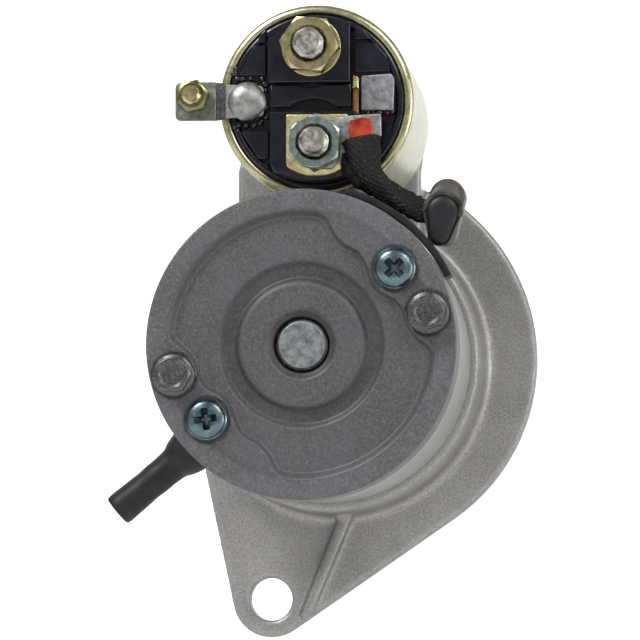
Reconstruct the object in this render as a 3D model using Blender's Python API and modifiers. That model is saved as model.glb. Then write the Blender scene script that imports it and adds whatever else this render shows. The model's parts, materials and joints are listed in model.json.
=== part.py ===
"""Starter motor with a permanent-magnet motor, a planetary reduction gear and a solenoid on top.

Metres, +Z up, +Y towards the pinion. The origin is where the shaft's axis meets the mounting face.
"""

import bpy
import bmesh
from math import acos, atan2, cos, degrees, hypot, pi, radians, sin, sqrt, tan
from mathutils import Matrix, Vector

# Clearances
GAP = 0.0003              # between pieces that touch
RUN = 0.00015             # radial, between a turning piece and what it turns in
SLIDE = 0.0003            # between a sliding piece and its guide

# Yoke, rear cover and front housing
YOKE_R = 0.0389           # outside of the steel tube
YOKE_WALL = 0.0026
YOKE_LENGTH = 0.0634
COVER_LIP = 0.0011        # how far the cover stands out past the yoke
COVER_DEPTH = 0.014
COVER_WALL = 0.0036
COVER_FLOOR = 0.0045
COVER_POCKET_DEPTH = 0.0016
POCKET_R = 0.0345         # edge of the cover's sunk rear face
GROOVE_R = 0.0188         # middle of the groove in that face
GROOVE_HALF_W = 0.0030
GROOVE_DEPTH = 0.0012
COLLAR_LIP = 0.0024       # how far the housing's collar stands out past the yoke
HOUSING_DEPTH = 0.034     # from the collar's rear rim to the mounting face
FLANGE_T = 0.008
LOBE_STEP = 0.0127        # how far the flange's lobe stands out past the collar
LOBE_SHIFT = 0.0017       # the lobe's centre, right of the shaft and above it
EAR_X, EAR_Z = -0.0185, -0.065
EAR_R = 0.0106
EAR_HOLE_R = 0.006
UPPER_EAR_X = -0.003
UPPER_EAR_R = 0.0098
UPPER_HOLE_R = 0.00425
ARM_ROOT_X, ARM_ROOT_Z = -0.0369, -0.0295
NOSE_LENGTH = 0.050
NOSE_WALL = 0.0036
NOSE_CLEAR = 0.0012        # round the drive, inside the nose
NOSE_END = 0.008          # thickness of the nose's front wall
COLUMN_LEFT, COLUMN_RIGHT = -0.0258, 0.0246
COLUMN_DEPTH = 0.025      # from the column's rear face to the mounting face
COLUMN_PLATE_T = 0.006

# Fasteners
BOLT_R = 0.0022
BOLT_ANGLE = 13.5
BOLT_EDGE = 0.0005        # between a through bolt and the yoke's inside
BOLT_HEAD_AF = 0.0085
BOLT_HEAD_H = 0.0042
BOLT_FLANGE_R = 0.0056
BOLT_FLANGE_H = 0.0013
BOLT_WALL = 0.0018        # between a through bolt and the ring gear's seat
SCREW_R = 0.0019
SCREW_ANGLE = 38.5
SCREW_CIRCLE = 0.0309
SCREW_HEAD_R = 0.0054
SCREW_HEAD_H = 0.0024
PAD_R = 0.0082            # pads on the cover under the bolts and screws

# Motor
SHAFT_R = 0.006
SHAFT_END_R = 0.0068      # rear journal
BUSH_WALL = 0.0024
CORE_R = 0.0280
CORE_LENGTH = 0.030
AIR_GAP = 0.0008
SLOTS = 14
SLOT_WIDTH = 0.0034
SLOT_DEPTH = 0.010
MAGNETS = 4
MAGNET_SPAN = 76.0
COMMUTATOR_R = 0.012
COMMUTATOR_LENGTH = 0.012
COMMUTATOR_BARS = 21
BRUSH_W, BRUSH_T, BRUSH_L = 0.0075, 0.0065, 0.012
BRUSH_ANGLE = 80.0
PLATE_T = 0.0015
PLATE_SET = 0.011         # brush plate's rear face, in front of the cover's rear face

# Reduction gear
SUN_TEETH, PLANET_TEETH, RING_TEETH = 13, 17, 47
PLANETS = 3
GEAR_W = 0.007
RING_RIM = 2.9            # ring's rim outside its pitch circle, in modules
ADDENDUM, DEDENDUM = 0.85, 1.2
BACKLASH = 0.10           # taken off each tooth's width, in modules
PRESSURE_ANGLE = radians(20)
PLANET_PIN_R = 0.0030
SUN_WALL = 0.0014         # between the sun gear's roots and its bore
CARRIER_T = 0.0035
BRACKET_T = 0.0035
BEARING_OUT = 0.0042      # how far a bearing's outside stands out past its shaft

# Drive
JOURNAL_R = 0.005
NOSE_BUSH_WALL = 0.0016
CLUTCH_R = 0.0168
CLUTCH_COLLAR_R = 0.013
CLUTCH_GROOVE_R = 0.009
CLUTCH_BODY = 0.0145
PINION_TEETH = 10
PINION_MODULE = 0.0025
PINION_W = 0.014
NECK_W, NECK_R = 0.0026, 0.0084   # plain neck behind the pinion's teeth
PINION_TRAVEL = 0.0108
STOP_T = 0.0035
STOP_R = 0.009
LEVER_Y = -0.013
LEVER_PIVOT_Z = 0.034
LEVER_T = 0.0044
LEVER_PIN_R = 0.003
LEVER_ARM_W = 0.003
FORK_PAD_R = 0.0026

# Solenoid
SOLENOID_X = 0.00175
SOLENOID_R = 0.0256       # outside of the crimped ring
SOLENOID_STEP = 0.0004    # how far the ring stands out past the case
SOLENOID_CLEAR = 0.0005   # between the ring and the yoke
SOLENOID_LENGTH = 0.0627
CASE_WALL = 0.0016
RING_LAND = 0.0024        # width of the ring that is folded over the cap
RING_DEPTH = 0.004
CASE_FRONT_T = 0.004
PLUNGER_R = 0.009
PLUNGER_TRAVEL = 0.010
PLUNGER_HEAD_R = 0.007
SPRING_WIRE_R = 0.0005
SPRING_TURNS = 5
SPRING_R = 0.0044          # to the wire's middle
SPRING_BORE_R = 0.0058     # bore in the plunger that holds the spring
SPRING_ROOM = 0.006        # depth of that bore
CONTACT_R = 0.0155
CONTACT_T = 0.0018
CONTACT_TRAVEL = 0.002
CONTACT_ROD_R = 0.002
CAP_WALL = 0.0028
CAP_FLOOR = 0.004
CAP_STEP = 0.0037         # how far the cap's raised blocks stand out of its floor
STUD_R = 0.004
STUD_UP_X, STUD_UP_Z = -0.0008, 0.0138
STUD_LOW_X, STUD_LOW_Z = 0.0007, -0.012
STUD_REACH = 0.0125       # stud's end, in front of the cap's blocks
STUD_HEAD_R = 0.006
STUD_HEAD_T = 0.0025
NUT_AF = 0.013
NUT_H = 0.0065
WASHER_R = 0.0078
WASHER_T = 0.0015
LUG_T = 0.0013
SQUARE = 0.0162
TAB_REACH = 0.0112        # how far the tab stands out past the crimped ring
TAB_RIGHT = -0.0125
TAB_H = 0.0103
TAB_T = 0.001
TAB_SCREW_REACH, TAB_SCREW_Z = 0.0064, 0.0012
TAB_SCREW_R = 0.0025
TAB_SCREW_HEAD_R = 0.0044
MOUNT_SCREW_X = 0.0180
MOUNT_SCREW_R = 0.0025
MOUNT_HEAD_R = 0.0042

# Drain tube, boot and lead
DRAIN_ANGLE = 219.5
DRAIN_Y = -0.084
DRAIN_R = 0.0043
DRAIN_BORE_R = 0.0026
DRAIN_BASE_R = 0.00625
DRAIN_BASE_L = 0.006
DRAIN_END = 0.0662        # from the shaft's axis to the tube's end
LEAD_R = 0.0033
LEAD_DROP_X, LEAD_DROP_Z = 0.01375, 0.0142   # from the solenoid's axis to the lug's weld
LEAD_SHAPE = (            # shares of the way across, down and forward, from the weld to the boot
    (0.0, 0.0, 0.0),
    (0.146, 0.317, 0.2),
    (0.326, 0.608, 0.45),
    (0.569, 0.808, 0.75),
    (0.799, 0.925, 0.95),
    (1.0, 1.0, 1.0),
)
BOOT_SET = 0.0075         # boot's rear face, in front of the cover's rear face
BOOT_DEPTH = 0.011
BOOT_TOP_OUT, BOOT_TOP_ANGLE = 0.01395, 47.85    # its wide end, outside the cover
BOOT_TOP_R = 0.0050
BOOT_HEEL_OUT, BOOT_HEEL_ANGLE = 0.0036, 40.8    # its narrow end
BOOT_HEEL_R = 0.0026
LEAD_INTO_BOOT = (0.0063, 0.0012, 0.0045)        # lead's end, from the wide end's middle
STRIP_T = 0.0026          # rubber strip along the cover's edge
STRIP_FIRST, STRIP_LAST = 27.0, 52.0

# Worked out from the sizes above
Y_COLLAR = -HOUSING_DEPTH
Y_YOKE_FRONT = Y_COLLAR - GAP
Y_YOKE_REAR = Y_YOKE_FRONT - YOKE_LENGTH
Y_COVER_FRONT = Y_YOKE_REAR - GAP
Y_COVER = Y_COVER_FRONT - COVER_DEPTH
COVER_R = YOKE_R + COVER_LIP
COLLAR_R = YOKE_R + COLLAR_LIP
YOKE_BORE_R = YOKE_R - YOKE_WALL
BOLT_CIRCLE = YOKE_BORE_R - BOLT_EDGE - BOLT_R
LOBE_R = COLLAR_R + LOBE_STEP
RING_R = BOLT_CIRCLE - BOLT_R - BOLT_WALL
MODULE = RING_R / (RING_TEETH / 2 + RING_RIM)
SUN_PITCH_R = MODULE * SUN_TEETH / 2
PLANET_PITCH_R = MODULE * PLANET_TEETH / 2
PLANET_CIRCLE = SUN_PITCH_R + PLANET_PITCH_R
SUN_ROOT_R = SUN_PITCH_R - DEDENDUM * MODULE
PILOT_R = SUN_ROOT_R - SUN_WALL
CAVITY_R = RING_R + GAP
Y_GEARS = Y_COLLAR + GAP
Y_CARRIER = Y_GEARS + GEAR_W + 2 * GAP
Y_BRACKET = Y_CARRIER + CARRIER_T + 2 * GAP
Y_CLUTCH = Y_BRACKET + BRACKET_T + 2 * GAP
CAVITY_FRONT = Y_BRACKET + BRACKET_T + GAP
CLUTCH_BORE_R = CLUTCH_R + 0.003
GROOVE_HALF = FORK_PAD_R + GAP
Y_CLUTCH_FRONT = LEVER_Y + GROOVE_HALF + CLUTCH_BODY
Y_PINION = Y_CLUTCH_FRONT + GAP
Y_STOP = Y_PINION + NECK_W + PINION_W + PINION_TRAVEL + GAP
PINION_TIP_R = PINION_MODULE * (PINION_TEETH / 2 + ADDENDUM)
NOSE_BORE_R = max(PINION_TIP_R, CLUTCH_R) + NOSE_CLEAR
NOSE_R = NOSE_BORE_R + NOSE_WALL
SOLENOID_Z = YOKE_R + SOLENOID_CLEAR + SOLENOID_R
TAB_LEFT = -SOLENOID_R - TAB_REACH
TAB_SCREW_X = -SOLENOID_R - TAB_SCREW_REACH
UPPER_EAR_Z = SOLENOID_Z + SOLENOID_R - UPPER_EAR_R
CASE_R = SOLENOID_R - SOLENOID_STEP
Y_COLUMN = -COLUMN_DEPTH
Y_CASE_FRONT = Y_COLUMN - GAP
Y_CASE_REAR = Y_CASE_FRONT - SOLENOID_LENGTH
CAP_R = SOLENOID_R - RING_LAND - GAP
Y_CAP_FLOOR = Y_CASE_REAR - 0.0002
Y_CAP_TOP = Y_CAP_FLOOR - CAP_STEP
CAP_CUP_R = CASE_R - CASE_WALL - GAP
CAP_CUP_DEPTH = 0.016
Y_SHAFT_END = Y_COVER + 0.0034
Y_COMMUTATOR = Y_COVER + 0.0135
Y_CORE = Y_COMMUTATOR + COMMUTATOR_LENGTH + 0.0065
Y_MOTOR_PLATE = Y_YOKE_FRONT - 0.0045
BOTH = (0.0, 180.0)
COVER_HOLE_R = SHAFT_END_R + 0.0011

LARGE, MEDIUM, SMALL = 36, 24, 16


# ---------------------------------------------------------------- scene and materials

def clear_scene():
    for obj in list(bpy.data.objects):
        bpy.data.objects.remove(obj, do_unlink=True)


def add_collection(name):
    collection = bpy.data.collections.new(name)
    bpy.context.scene.collection.children.link(collection)
    return collection


def material(name, colour, roughness, metallic):
    made = bpy.data.materials.get(name) or bpy.data.materials.new(name)
    made.use_nodes = True
    shader = made.node_tree.nodes["Principled BSDF"]
    shader.inputs["Base Color"].default_value = (*colour, 1.0)
    shader.inputs["Roughness"].default_value = roughness
    shader.inputs["Metallic"].default_value = metallic
    made.diffuse_color = (*colour, 1.0)
    return made


def cast_aluminium():
    return material("cast_aluminium", (0.36, 0.34, 0.32), 0.55, 0.9)


def dark_cast():
    return material("dark_cast", (0.11, 0.11, 0.12), 0.6, 0.4)


def yoke_paint():
    return material("yoke_paint", (0.22, 0.23, 0.21), 0.5, 0.6)


def steel():
    return material("steel", (0.5, 0.5, 0.5), 0.3, 1.0)


def dark_bolt():
    return material("dark_bolt", (0.10, 0.09, 0.085), 0.5, 0.8)


def blue_zinc():
    return material("blue_zinc", (0.38, 0.45, 0.5), 0.3, 1.0)


def yellow_zinc():
    return material("yellow_zinc", (0.55, 0.47, 0.24), 0.3, 0.9)


def black_moulding():
    return material("black_moulding", (0.012, 0.013, 0.018), 0.25, 0.0)


def black_rubber():
    return material("black_rubber", (0.018, 0.018, 0.018), 0.7, 0.0)


def copper():
    return material("copper", (0.6, 0.28, 0.15), 0.35, 1.0)


def magnet_stone():
    return material("magnet_stone", (0.06, 0.06, 0.065), 0.7, 0.2)


def carbon():
    return material("carbon", (0.04, 0.04, 0.04), 0.6, 0.3)


def bronze():
    return material("bronze", (0.5, 0.32, 0.14), 0.4, 1.0)


def grey_plastic():
    return material("grey_plastic", (0.12, 0.12, 0.115), 0.5, 0.0)


# ---------------------------------------------------------------- shape helpers

def polar(radius, angle):
    return radius * cos(radians(angle)), radius * sin(radians(angle))


def add_object(name, data, finish, helper=False):
    obj = bpy.data.objects.new(name, data)
    (HELPERS if helper else PARTS).objects.link(obj)
    if helper:
        obj.hide_render = True
        obj.display_type = "WIRE"
    elif finish:
        obj.data.materials.append(finish)
    return obj


def smooth(mesh):
    mesh.shade_smooth()
    mesh.set_sharp_from_angle(angle=radians(35))


def turned(name, profile, finish=None, at=(0.0, 0.0), sides=MEDIUM, helper=False):
    """Turns a profile of (radius, y) points about a line along Y through (x, z)."""
    closed = profile[0][0] > 0 or profile[-1][0] > 0
    area = sum(a[0] * b[1] - b[0] * a[1] for a, b in zip(profile, profile[1:] + profile[:1]))
    if area > 0:
        profile = profile[::-1]
    count = len(profile)
    edges = [(i, (i + 1) % count) for i in range(count if closed else count - 1)]
    mesh = bpy.data.meshes.new(name)
    mesh.from_pydata([(r, y, 0.0) for r, y in profile], edges, [])
    obj = add_object(name, mesh, finish, helper)
    screw = obj.modifiers.new("turn", "SCREW")
    screw.axis = "Y"
    screw.steps = screw.render_steps = sides
    screw.use_merge_vertices = True
    screw.merge_threshold = 0.00001
    obj.location = (at[0], 0.0, at[1])
    return as_mesh(obj)


def ring_profile(inner, outer, y0, y1):
    return [(inner, y0), (outer, y0), (outer, y1), (inner, y1)]


def as_mesh(obj):
    """Makes a curve object a closed mesh object in its place."""
    bpy.context.view_layer.update()
    graph = bpy.context.evaluated_depsgraph_get()
    mesh = bpy.data.meshes.new_from_object(obj.evaluated_get(graph))
    work = bmesh.new()
    work.from_mesh(mesh)
    bmesh.ops.remove_doubles(work, verts=work.verts, dist=0.000001)
    work.to_mesh(mesh)
    work.free()
    smooth(mesh)
    name, home, hidden = obj.name, obj.users_collection[0], obj.hide_render
    place = obj.matrix_world.copy()
    bpy.data.objects.remove(obj, do_unlink=True)
    made = bpy.data.objects.new(name, mesh)
    home.objects.link(made)
    made.matrix_world = place
    made.hide_render = hidden
    made.display_type = "WIRE" if hidden else "TEXTURED"
    return made


def slab(name, outlines, y0, y1, finish=None, at=(0.0, 0.0), helper=False):
    """A flat plate across Y: the first outline of (x, z) points is its edge, the others are holes."""
    curve = bpy.data.curves.new(name, "CURVE")
    curve.dimensions = "2D"
    curve.fill_mode = "BOTH"
    curve.extrude = (y1 - y0) / 2
    for outline in outlines:
        spline = curve.splines.new("POLY")
        spline.points.add(len(outline) - 1)
        for point, (x, z) in zip(spline.points, outline):
            point.co = (x, z, 0.0, 1.0)
        spline.use_cyclic_u = True
    obj = add_object(name, curve, finish, helper)
    obj.rotation_euler = (pi / 2, 0.0, 0.0)
    obj.location = (at[0], (y0 + y1) / 2, at[1])
    return obj


def block(name, low, high, finish=None, bevel=0.0, helper=False):
    mesh = bpy.data.meshes.new(name)
    work = bmesh.new()
    bmesh.ops.create_cube(work, size=1.0)
    size = [b - a for a, b in zip(low, high)]
    centre = [(a + b) / 2 for a, b in zip(low, high)]
    bmesh.ops.transform(work, matrix=Matrix.Diagonal((*size, 1.0)), verts=work.verts)
    if bevel:
        bmesh.ops.bevel(work, geom=work.edges[:], offset=bevel, segments=2, profile=0.5,
                        affect="EDGES")
    work.to_mesh(mesh)
    work.free()
    obj = add_object(name, mesh, finish, helper)
    obj.location = centre
    return obj


def rod(name, start, end, radius, finish=None, sides=SMALL, helper=False, end_radius=None):
    """A round bar, or a cone, between two points."""
    start, end = Vector(start), Vector(end)
    mesh = bpy.data.meshes.new(name)
    work = bmesh.new()
    bmesh.ops.create_cone(work, cap_ends=True, segments=sides, radius1=radius,
                          radius2=radius if end_radius is None else end_radius,
                          depth=(end - start).length)
    work.to_mesh(mesh)
    work.free()
    smooth(mesh)
    obj = add_object(name, mesh, finish, helper)
    obj.rotation_euler = (end - start).to_track_quat("Z", "Y").to_euler()
    obj.location = (start + end) / 2
    return obj


def combine(target, helper, operation="DIFFERENCE"):
    modifier = target.modifiers.new(helper.name, "BOOLEAN")
    modifier.operation = operation
    modifier.object = helper
    modifier.solver = "EXACT"


def drill(target, name, at, radius, y0, y1, sides=SMALL):
    combine(target, rod(name, (at[0], y0, at[1]), (at[0], y1, at[1]), radius, sides=sides,
                        helper=True))


def circle(radius, sides=MEDIUM, at=(0.0, 0.0), start=0.0):
    return [(at[0] + radius * cos(2 * pi * i / sides + start),
             at[1] + radius * sin(2 * pi * i / sides + start)) for i in range(sides)]


def arc(centre, radius, first, last, steps):
    return [(centre[0] + polar(radius, first + (last - first) * i / steps)[0],
             centre[1] + polar(radius, first + (last - first) * i / steps)[1])
            for i in range(steps + 1)]


def hexagon(across_flats, turn=0.0):
    return circle(across_flats / sqrt(3), 6, start=radians(turn))


# ---------------------------------------------------------------- gear teeth

def involute(angle):
    return tan(angle) - angle


def gear_outline(teeth, module, addendum, dedendum, thinning, phase, flank=3):
    """The outline of a gear with involute teeth; a tooth is centred at phase, in radians."""
    pitch_r = module * teeth / 2
    base_r = pitch_r * cos(PRESSURE_ANGLE)
    half_pitch = (pi / 2 - thinning) / teeth
    low, high = pitch_r - dedendum * module, pitch_r + addendum * module
    radii = [low + (high - low) * i / (flank - 1) for i in range(flank)]

    def half_angle(radius):
        at = acos(min(1.0, base_r / max(radius, base_r)))
        return half_pitch + involute(PRESSURE_ANGLE) - involute(at)

    points = []
    for tooth in range(teeth):
        centre = phase + 2 * pi * tooth / teeth
        rise = [(r, centre - half_angle(r)) for r in radii]
        fall = [(r, centre + half_angle(r)) for r in reversed(radii)]
        points += [(r * cos(a), r * sin(a)) for r, a in rise + fall]
    return points


def nearest_tooth(phase, teeth, direction):
    """The signed angle from a direction to the nearest tooth centre."""
    pitch = 2 * pi / teeth
    return (phase - direction + pitch / 2) % pitch - pitch / 2


def planet_phase(direction):
    """Where a planet's tooth is centred, so that the sun's tooth enters its space."""
    offset = nearest_tooth(0.0, SUN_TEETH, direction)
    return direction + pi - offset * SUN_TEETH / PLANET_TEETH + pi / PLANET_TEETH


def ring_phase():
    direction = radians(planet_angle(0))
    offset = nearest_tooth(planet_phase(direction), PLANET_TEETH, direction)
    return direction + offset * PLANET_TEETH / RING_TEETH


def planet_angle(index):
    return 90.0 + 360.0 * index / PLANETS


# ---------------------------------------------------------------- rear cover and its screws

def make_rear_cover():
    bush_r = SHAFT_END_R + RUN + BUSH_WALL + GAP
    pocket = Y_COVER + COVER_POCKET_DEPTH
    inside = Y_COVER + COVER_FLOOR
    cover = turned("rear_cover", [
        (COVER_HOLE_R, Y_COVER + 0.0026),
        (COVER_HOLE_R + 0.0015, pocket),
        (GROOVE_R - GROOVE_HALF_W, pocket),
        (GROOVE_R - GROOVE_HALF_W / 2, pocket + GROOVE_DEPTH),
        (GROOVE_R + GROOVE_HALF_W / 2, pocket + GROOVE_DEPTH),
        (GROOVE_R + GROOVE_HALF_W, pocket),
        (POCKET_R - 0.0030, pocket),
        (POCKET_R, Y_COVER),
        (COVER_R - 0.0012, Y_COVER),
        (COVER_R, Y_COVER + 0.0012),
        (COVER_R, Y_COVER_FRONT),
        (COVER_R - COVER_WALL, Y_COVER_FRONT),
        (COVER_R - COVER_WALL, inside),
        (bush_r + 0.003, inside),
        (bush_r + 0.003, inside + 0.005),
        (bush_r, inside + 0.005),
        (bush_r, Y_COVER + 0.0048),
        (COVER_HOLE_R, Y_COVER + 0.0048),
    ], dark_cast(), sides=LARGE)
    for side in BOTH:
        for kind, circle_r, angle in (("bolt", BOLT_CIRCLE, BOLT_ANGLE),
                                      ("screw", SCREW_CIRCLE, SCREW_ANGLE)):
            x, z = polar(circle_r, angle + side)
            reach = min(PAD_R, COVER_R - circle_r - 0.0004) if kind == "bolt" else PAD_R
            pad = rod(f"{kind}_pad_{side:.0f}", (x, Y_COVER, z), (x, inside - 0.0004, z),
                      reach, helper=True)
            combine(cover, pad, "UNION")
    for side in BOTH:
        drill(cover, f"bolt_hole_{side:.0f}", polar(BOLT_CIRCLE, BOLT_ANGLE + side),
              BOLT_R + GAP, Y_COVER - 0.002, Y_COVER_FRONT + 0.002)
        drill(cover, f"screw_hole_{side:.0f}", polar(SCREW_CIRCLE, SCREW_ANGLE + side),
              SCREW_R + GAP, Y_COVER - 0.002, Y_COVER_FRONT + 0.002)


def make_rear_bush():
    inner = SHAFT_END_R + RUN
    turned("rear_bush", ring_profile(inner, inner + BUSH_WALL, Y_COVER + 0.0051,
                                     Y_COVER + COVER_FLOOR + 0.005), bronze(), sides=MEDIUM)


def make_through_bolts():
    front = Y_COLLAR + 0.018
    back = Y_COVER - GAP
    for side, word in zip(BOTH, ("right", "left")):
        at = polar(BOLT_CIRCLE, BOLT_ANGLE + side)
        bolt = turned(f"through_bolt_{word}", [
            (0.0, back - BOLT_FLANGE_H),
            (BOLT_FLANGE_R * 0.94, back - BOLT_FLANGE_H),
            (BOLT_FLANGE_R, back - BOLT_FLANGE_H * 0.6),
            (BOLT_FLANGE_R, back),
            (BOLT_R, back),
            (BOLT_R, front - 0.001),
            (BOLT_R - 0.0008, front),
            (0.0, front),
        ], dark_bolt(), at, SMALL)
        head = as_mesh(slab(f"bolt_head_{word}", [hexagon(BOLT_HEAD_AF, 10.0)],
                            back - BOLT_HEAD_H, back - BOLT_FLANGE_H / 2, at=at, helper=True))
        combine(bolt, head, "UNION")


def make_brush_screws():
    front = Y_COVER + PLATE_SET + PLATE_T + 0.002
    back = Y_COVER - GAP
    for side, word in zip(BOTH, ("right", "left")):
        at = polar(SCREW_CIRCLE, SCREW_ANGLE + side)
        screw = turned(f"brush_screw_{word}", [
            (0.0, back - SCREW_HEAD_H),
            (SCREW_HEAD_R * 0.55, back - SCREW_HEAD_H * 0.94),
            (SCREW_HEAD_R * 0.88, back - SCREW_HEAD_H * 0.66),
            (SCREW_HEAD_R, back - SCREW_HEAD_H * 0.25),
            (SCREW_HEAD_R, back),
            (SCREW_R, back),
            (SCREW_R, front),
            (0.0, front),
        ], blue_zinc(), at, SMALL)
        for turn in (0.0, 90.0):
            slot = block(f"screw_slot_{word}_{turn:.0f}", (-0.0025, -0.0012, -0.0006),
                         (0.0025, 0.0012, 0.0006), helper=True)
            slot.location = (at[0], back - SCREW_HEAD_H, at[1])
            slot.rotation_euler = (0.0, radians(-turn - (45.0 if side == 0.0 else 10.0)), 0.0)
            combine(screw, slot)


# ---------------------------------------------------------------- brushes

def brush_frame(index):
    """The turn that carries a brush drawn along +X to its own place."""
    return Matrix.Rotation(-radians(BRUSH_ANGLE + 90.0 * index), 4, "Y")


def turn_into_place(obj, index):
    obj.matrix_world = brush_frame(index) @ Matrix.Translation(obj.location)


def make_brushes():
    y0 = Y_COVER + PLATE_SET + PLATE_T + GAP + 0.0012
    inner = COMMUTATOR_R + GAP
    for index in range(4):
        brush = block(f"brush_{index + 1}", (inner, y0, -BRUSH_T / 2),
                      (inner + BRUSH_L, y0 + BRUSH_W, BRUSH_T / 2), carbon())
        turn_into_place(brush, index)


def make_brush_plate():
    y0 = Y_COVER + PLATE_SET
    plate_r = COVER_R - COVER_WALL - GAP
    holes = [circle(SHAFT_R + 0.0075, MEDIUM)]
    holes += [circle(SCREW_R + GAP, 16, polar(SCREW_CIRCLE, SCREW_ANGLE + side)) for side in BOTH]
    plate = as_mesh(slab("brush_plate", [circle(plate_r, LARGE)] + holes, y0, y0 + PLATE_T,
                         steel()))
    notch_for_bolts(plate, y0, y0 + PLATE_T)
    y_guide = y0 + PLATE_T + 2 * GAP + 0.0012 + BRUSH_W
    wall = 0.0011
    inner = COMMUTATOR_R + 0.0028
    outer = COMMUTATOR_R + BRUSH_L + 0.0045
    half = BRUSH_T / 2 + GAP
    for index in range(4):
        guide = block(f"guide_{index}", (inner, y0 + PLATE_T - 0.0004, -half - wall),
                      (outer, y_guide + wall, half + wall), helper=True)
        channel = block(f"channel_{index}", (inner - 0.004, y0 + PLATE_T + 0.0011, -half),
                        (outer - wall, y_guide, half), helper=True)
        turn_into_place(guide, index)
        turn_into_place(channel, index)
        combine(plate, guide, "UNION")
        combine(plate, channel)


# ---------------------------------------------------------------- yoke, magnets and armature

def notch_for_bolts(plate, y0, y1):
    """Cuts the plate's edge open where the through bolts pass."""
    for side in BOTH:
        drill(plate, f"{plate.name}_notch_{side:.0f}", polar(BOLT_CIRCLE, BOLT_ANGLE + side),
              BOLT_R + 3 * GAP, y0 - 0.002, y1 + 0.002, 16)


def make_yoke():
    turned("yoke", ring_profile(YOKE_BORE_R, YOKE_R, Y_YOKE_REAR, Y_YOKE_FRONT), yoke_paint(),
           sides=LARGE)


def make_magnets():
    inner, outer = CORE_R + AIR_GAP, YOKE_BORE_R - GAP
    for index in range(MAGNETS):
        middle = BOLT_ANGLE + 45.0 + 90.0 * index
        first, last = middle - MAGNET_SPAN / 2, middle + MAGNET_SPAN / 2
        outline = arc((0, 0), outer, first, last, 14) + arc((0, 0), inner, last, first, 14)
        slab(f"magnet_{index + 1}", [outline], Y_CORE - 0.001, Y_CORE + CORE_LENGTH + 0.001,
             magnet_stone())


def make_armature_shaft():
    front = Y_CARRIER + CARRIER_T
    turned("armature_shaft", [
        (0.0, Y_SHAFT_END),
        (SHAFT_END_R - 0.001, Y_SHAFT_END),
        (SHAFT_END_R, Y_SHAFT_END + 0.0009),
        (SHAFT_END_R, Y_COMMUTATOR - 0.001),
        (SHAFT_R, Y_COMMUTATOR - 0.001),
        (SHAFT_R, Y_GEARS - 0.0008),
        (PILOT_R, Y_GEARS - 0.0008),
        (PILOT_R, front - 0.0006),
        (PILOT_R - 0.0006, front),
        (0.0, front),
    ], steel(), sides=MEDIUM)


def slot_angle(index):
    return 360.0 * index / SLOTS


def make_armature_core():
    half = degrees(SLOT_WIDTH / 2 / CORE_R)
    outline = []
    for index in range(SLOTS):
        middle, following = slot_angle(index), slot_angle(index + 1)
        side = radians(middle)
        along = Vector((cos(side), sin(side)))
        across = Vector((-sin(side), cos(side))) * SLOT_WIDTH / 2
        floor_r = CORE_R - SLOT_DEPTH
        outline.append(tuple(along * floor_r - across))
        outline.append(tuple(along * floor_r + across))
        outline += arc((0, 0), CORE_R, middle + half, following - half, 3)
    outline = outline[1:] + outline[:1]
    slab("armature_core", [outline, circle(SHAFT_R + GAP, MEDIUM)], Y_CORE, Y_CORE + CORE_LENGTH,
         steel())


def make_armature_winding():
    inner_r, outer_r = SHAFT_R + 0.004, CORE_R - 0.0024
    rear = Y_COMMUTATOR + COMMUTATOR_LENGTH + GAP
    front = Y_CORE + CORE_LENGTH + GAP
    winding = turned("armature_winding", [
        (inner_r, rear), (outer_r - 0.004, rear), (outer_r, rear + 0.0025),
        (outer_r, Y_CORE - GAP), (inner_r, Y_CORE - GAP),
    ], copper(), sides=MEDIUM)
    far = turned("far_turns", [
        (inner_r, front), (outer_r, front), (outer_r, front + 0.003),
        (outer_r - 0.003, front + 0.0055), (inner_r, front + 0.0055),
    ], sides=MEDIUM, helper=True)
    combine(winding, far, "UNION")
    for index in range(SLOTS):
        half = SLOT_WIDTH / 2 - GAP
        bar = block(f"slot_bar_{index}", (CORE_R - SLOT_DEPTH + GAP, Y_CORE - 0.001, -half),
                    (outer_r - 0.0006, front + 0.001, half), helper=True)
        bar.matrix_world = (Matrix.Rotation(-radians(slot_angle(index)), 4, "Y")
                            @ Matrix.Translation(bar.location))
        combine(winding, bar, "UNION")


def make_commutator():
    outline = []
    for index in range(COMMUTATOR_BARS):
        middle = 360.0 * index / COMMUTATOR_BARS
        step = 360.0 / COMMUTATOR_BARS
        outline += [polar(COMMUTATOR_R - 0.0007, middle - 1.6), polar(COMMUTATOR_R, middle),
                    polar(COMMUTATOR_R, middle + step - 3.2),
                    polar(COMMUTATOR_R - 0.0007, middle + step - 1.6 - 1.6)]
    slab("commutator", [outline, circle(SHAFT_R + GAP, MEDIUM)], Y_COMMUTATOR,
         Y_COMMUTATOR + COMMUTATOR_LENGTH, copper())


# ---------------------------------------------------------------- reduction gear

def make_motor_plate():
    bearing_r = SHAFT_R + RUN + BEARING_OUT
    front = Y_YOKE_FRONT - GAP
    plate = as_mesh(slab("motor_plate", [circle(YOKE_BORE_R - GAP, LARGE),
                                         circle(bearing_r + GAP, MEDIUM)], Y_MOTOR_PLATE, front,
                         steel()))
    notch_for_bolts(plate, Y_MOTOR_PLATE, front)
    turned("front_bearing", ring_profile(SHAFT_R + RUN, bearing_r, Y_MOTOR_PLATE,
                                         Y_YOKE_FRONT - GAP), steel(), sides=MEDIUM)


def make_sun_gear():
    outline = gear_outline(SUN_TEETH, MODULE, ADDENDUM, DEDENDUM, BACKLASH, 0.0)
    slab("sun_gear", [outline, circle(PILOT_R + GAP, 24)], Y_GEARS, Y_GEARS + GEAR_W, steel())


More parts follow.
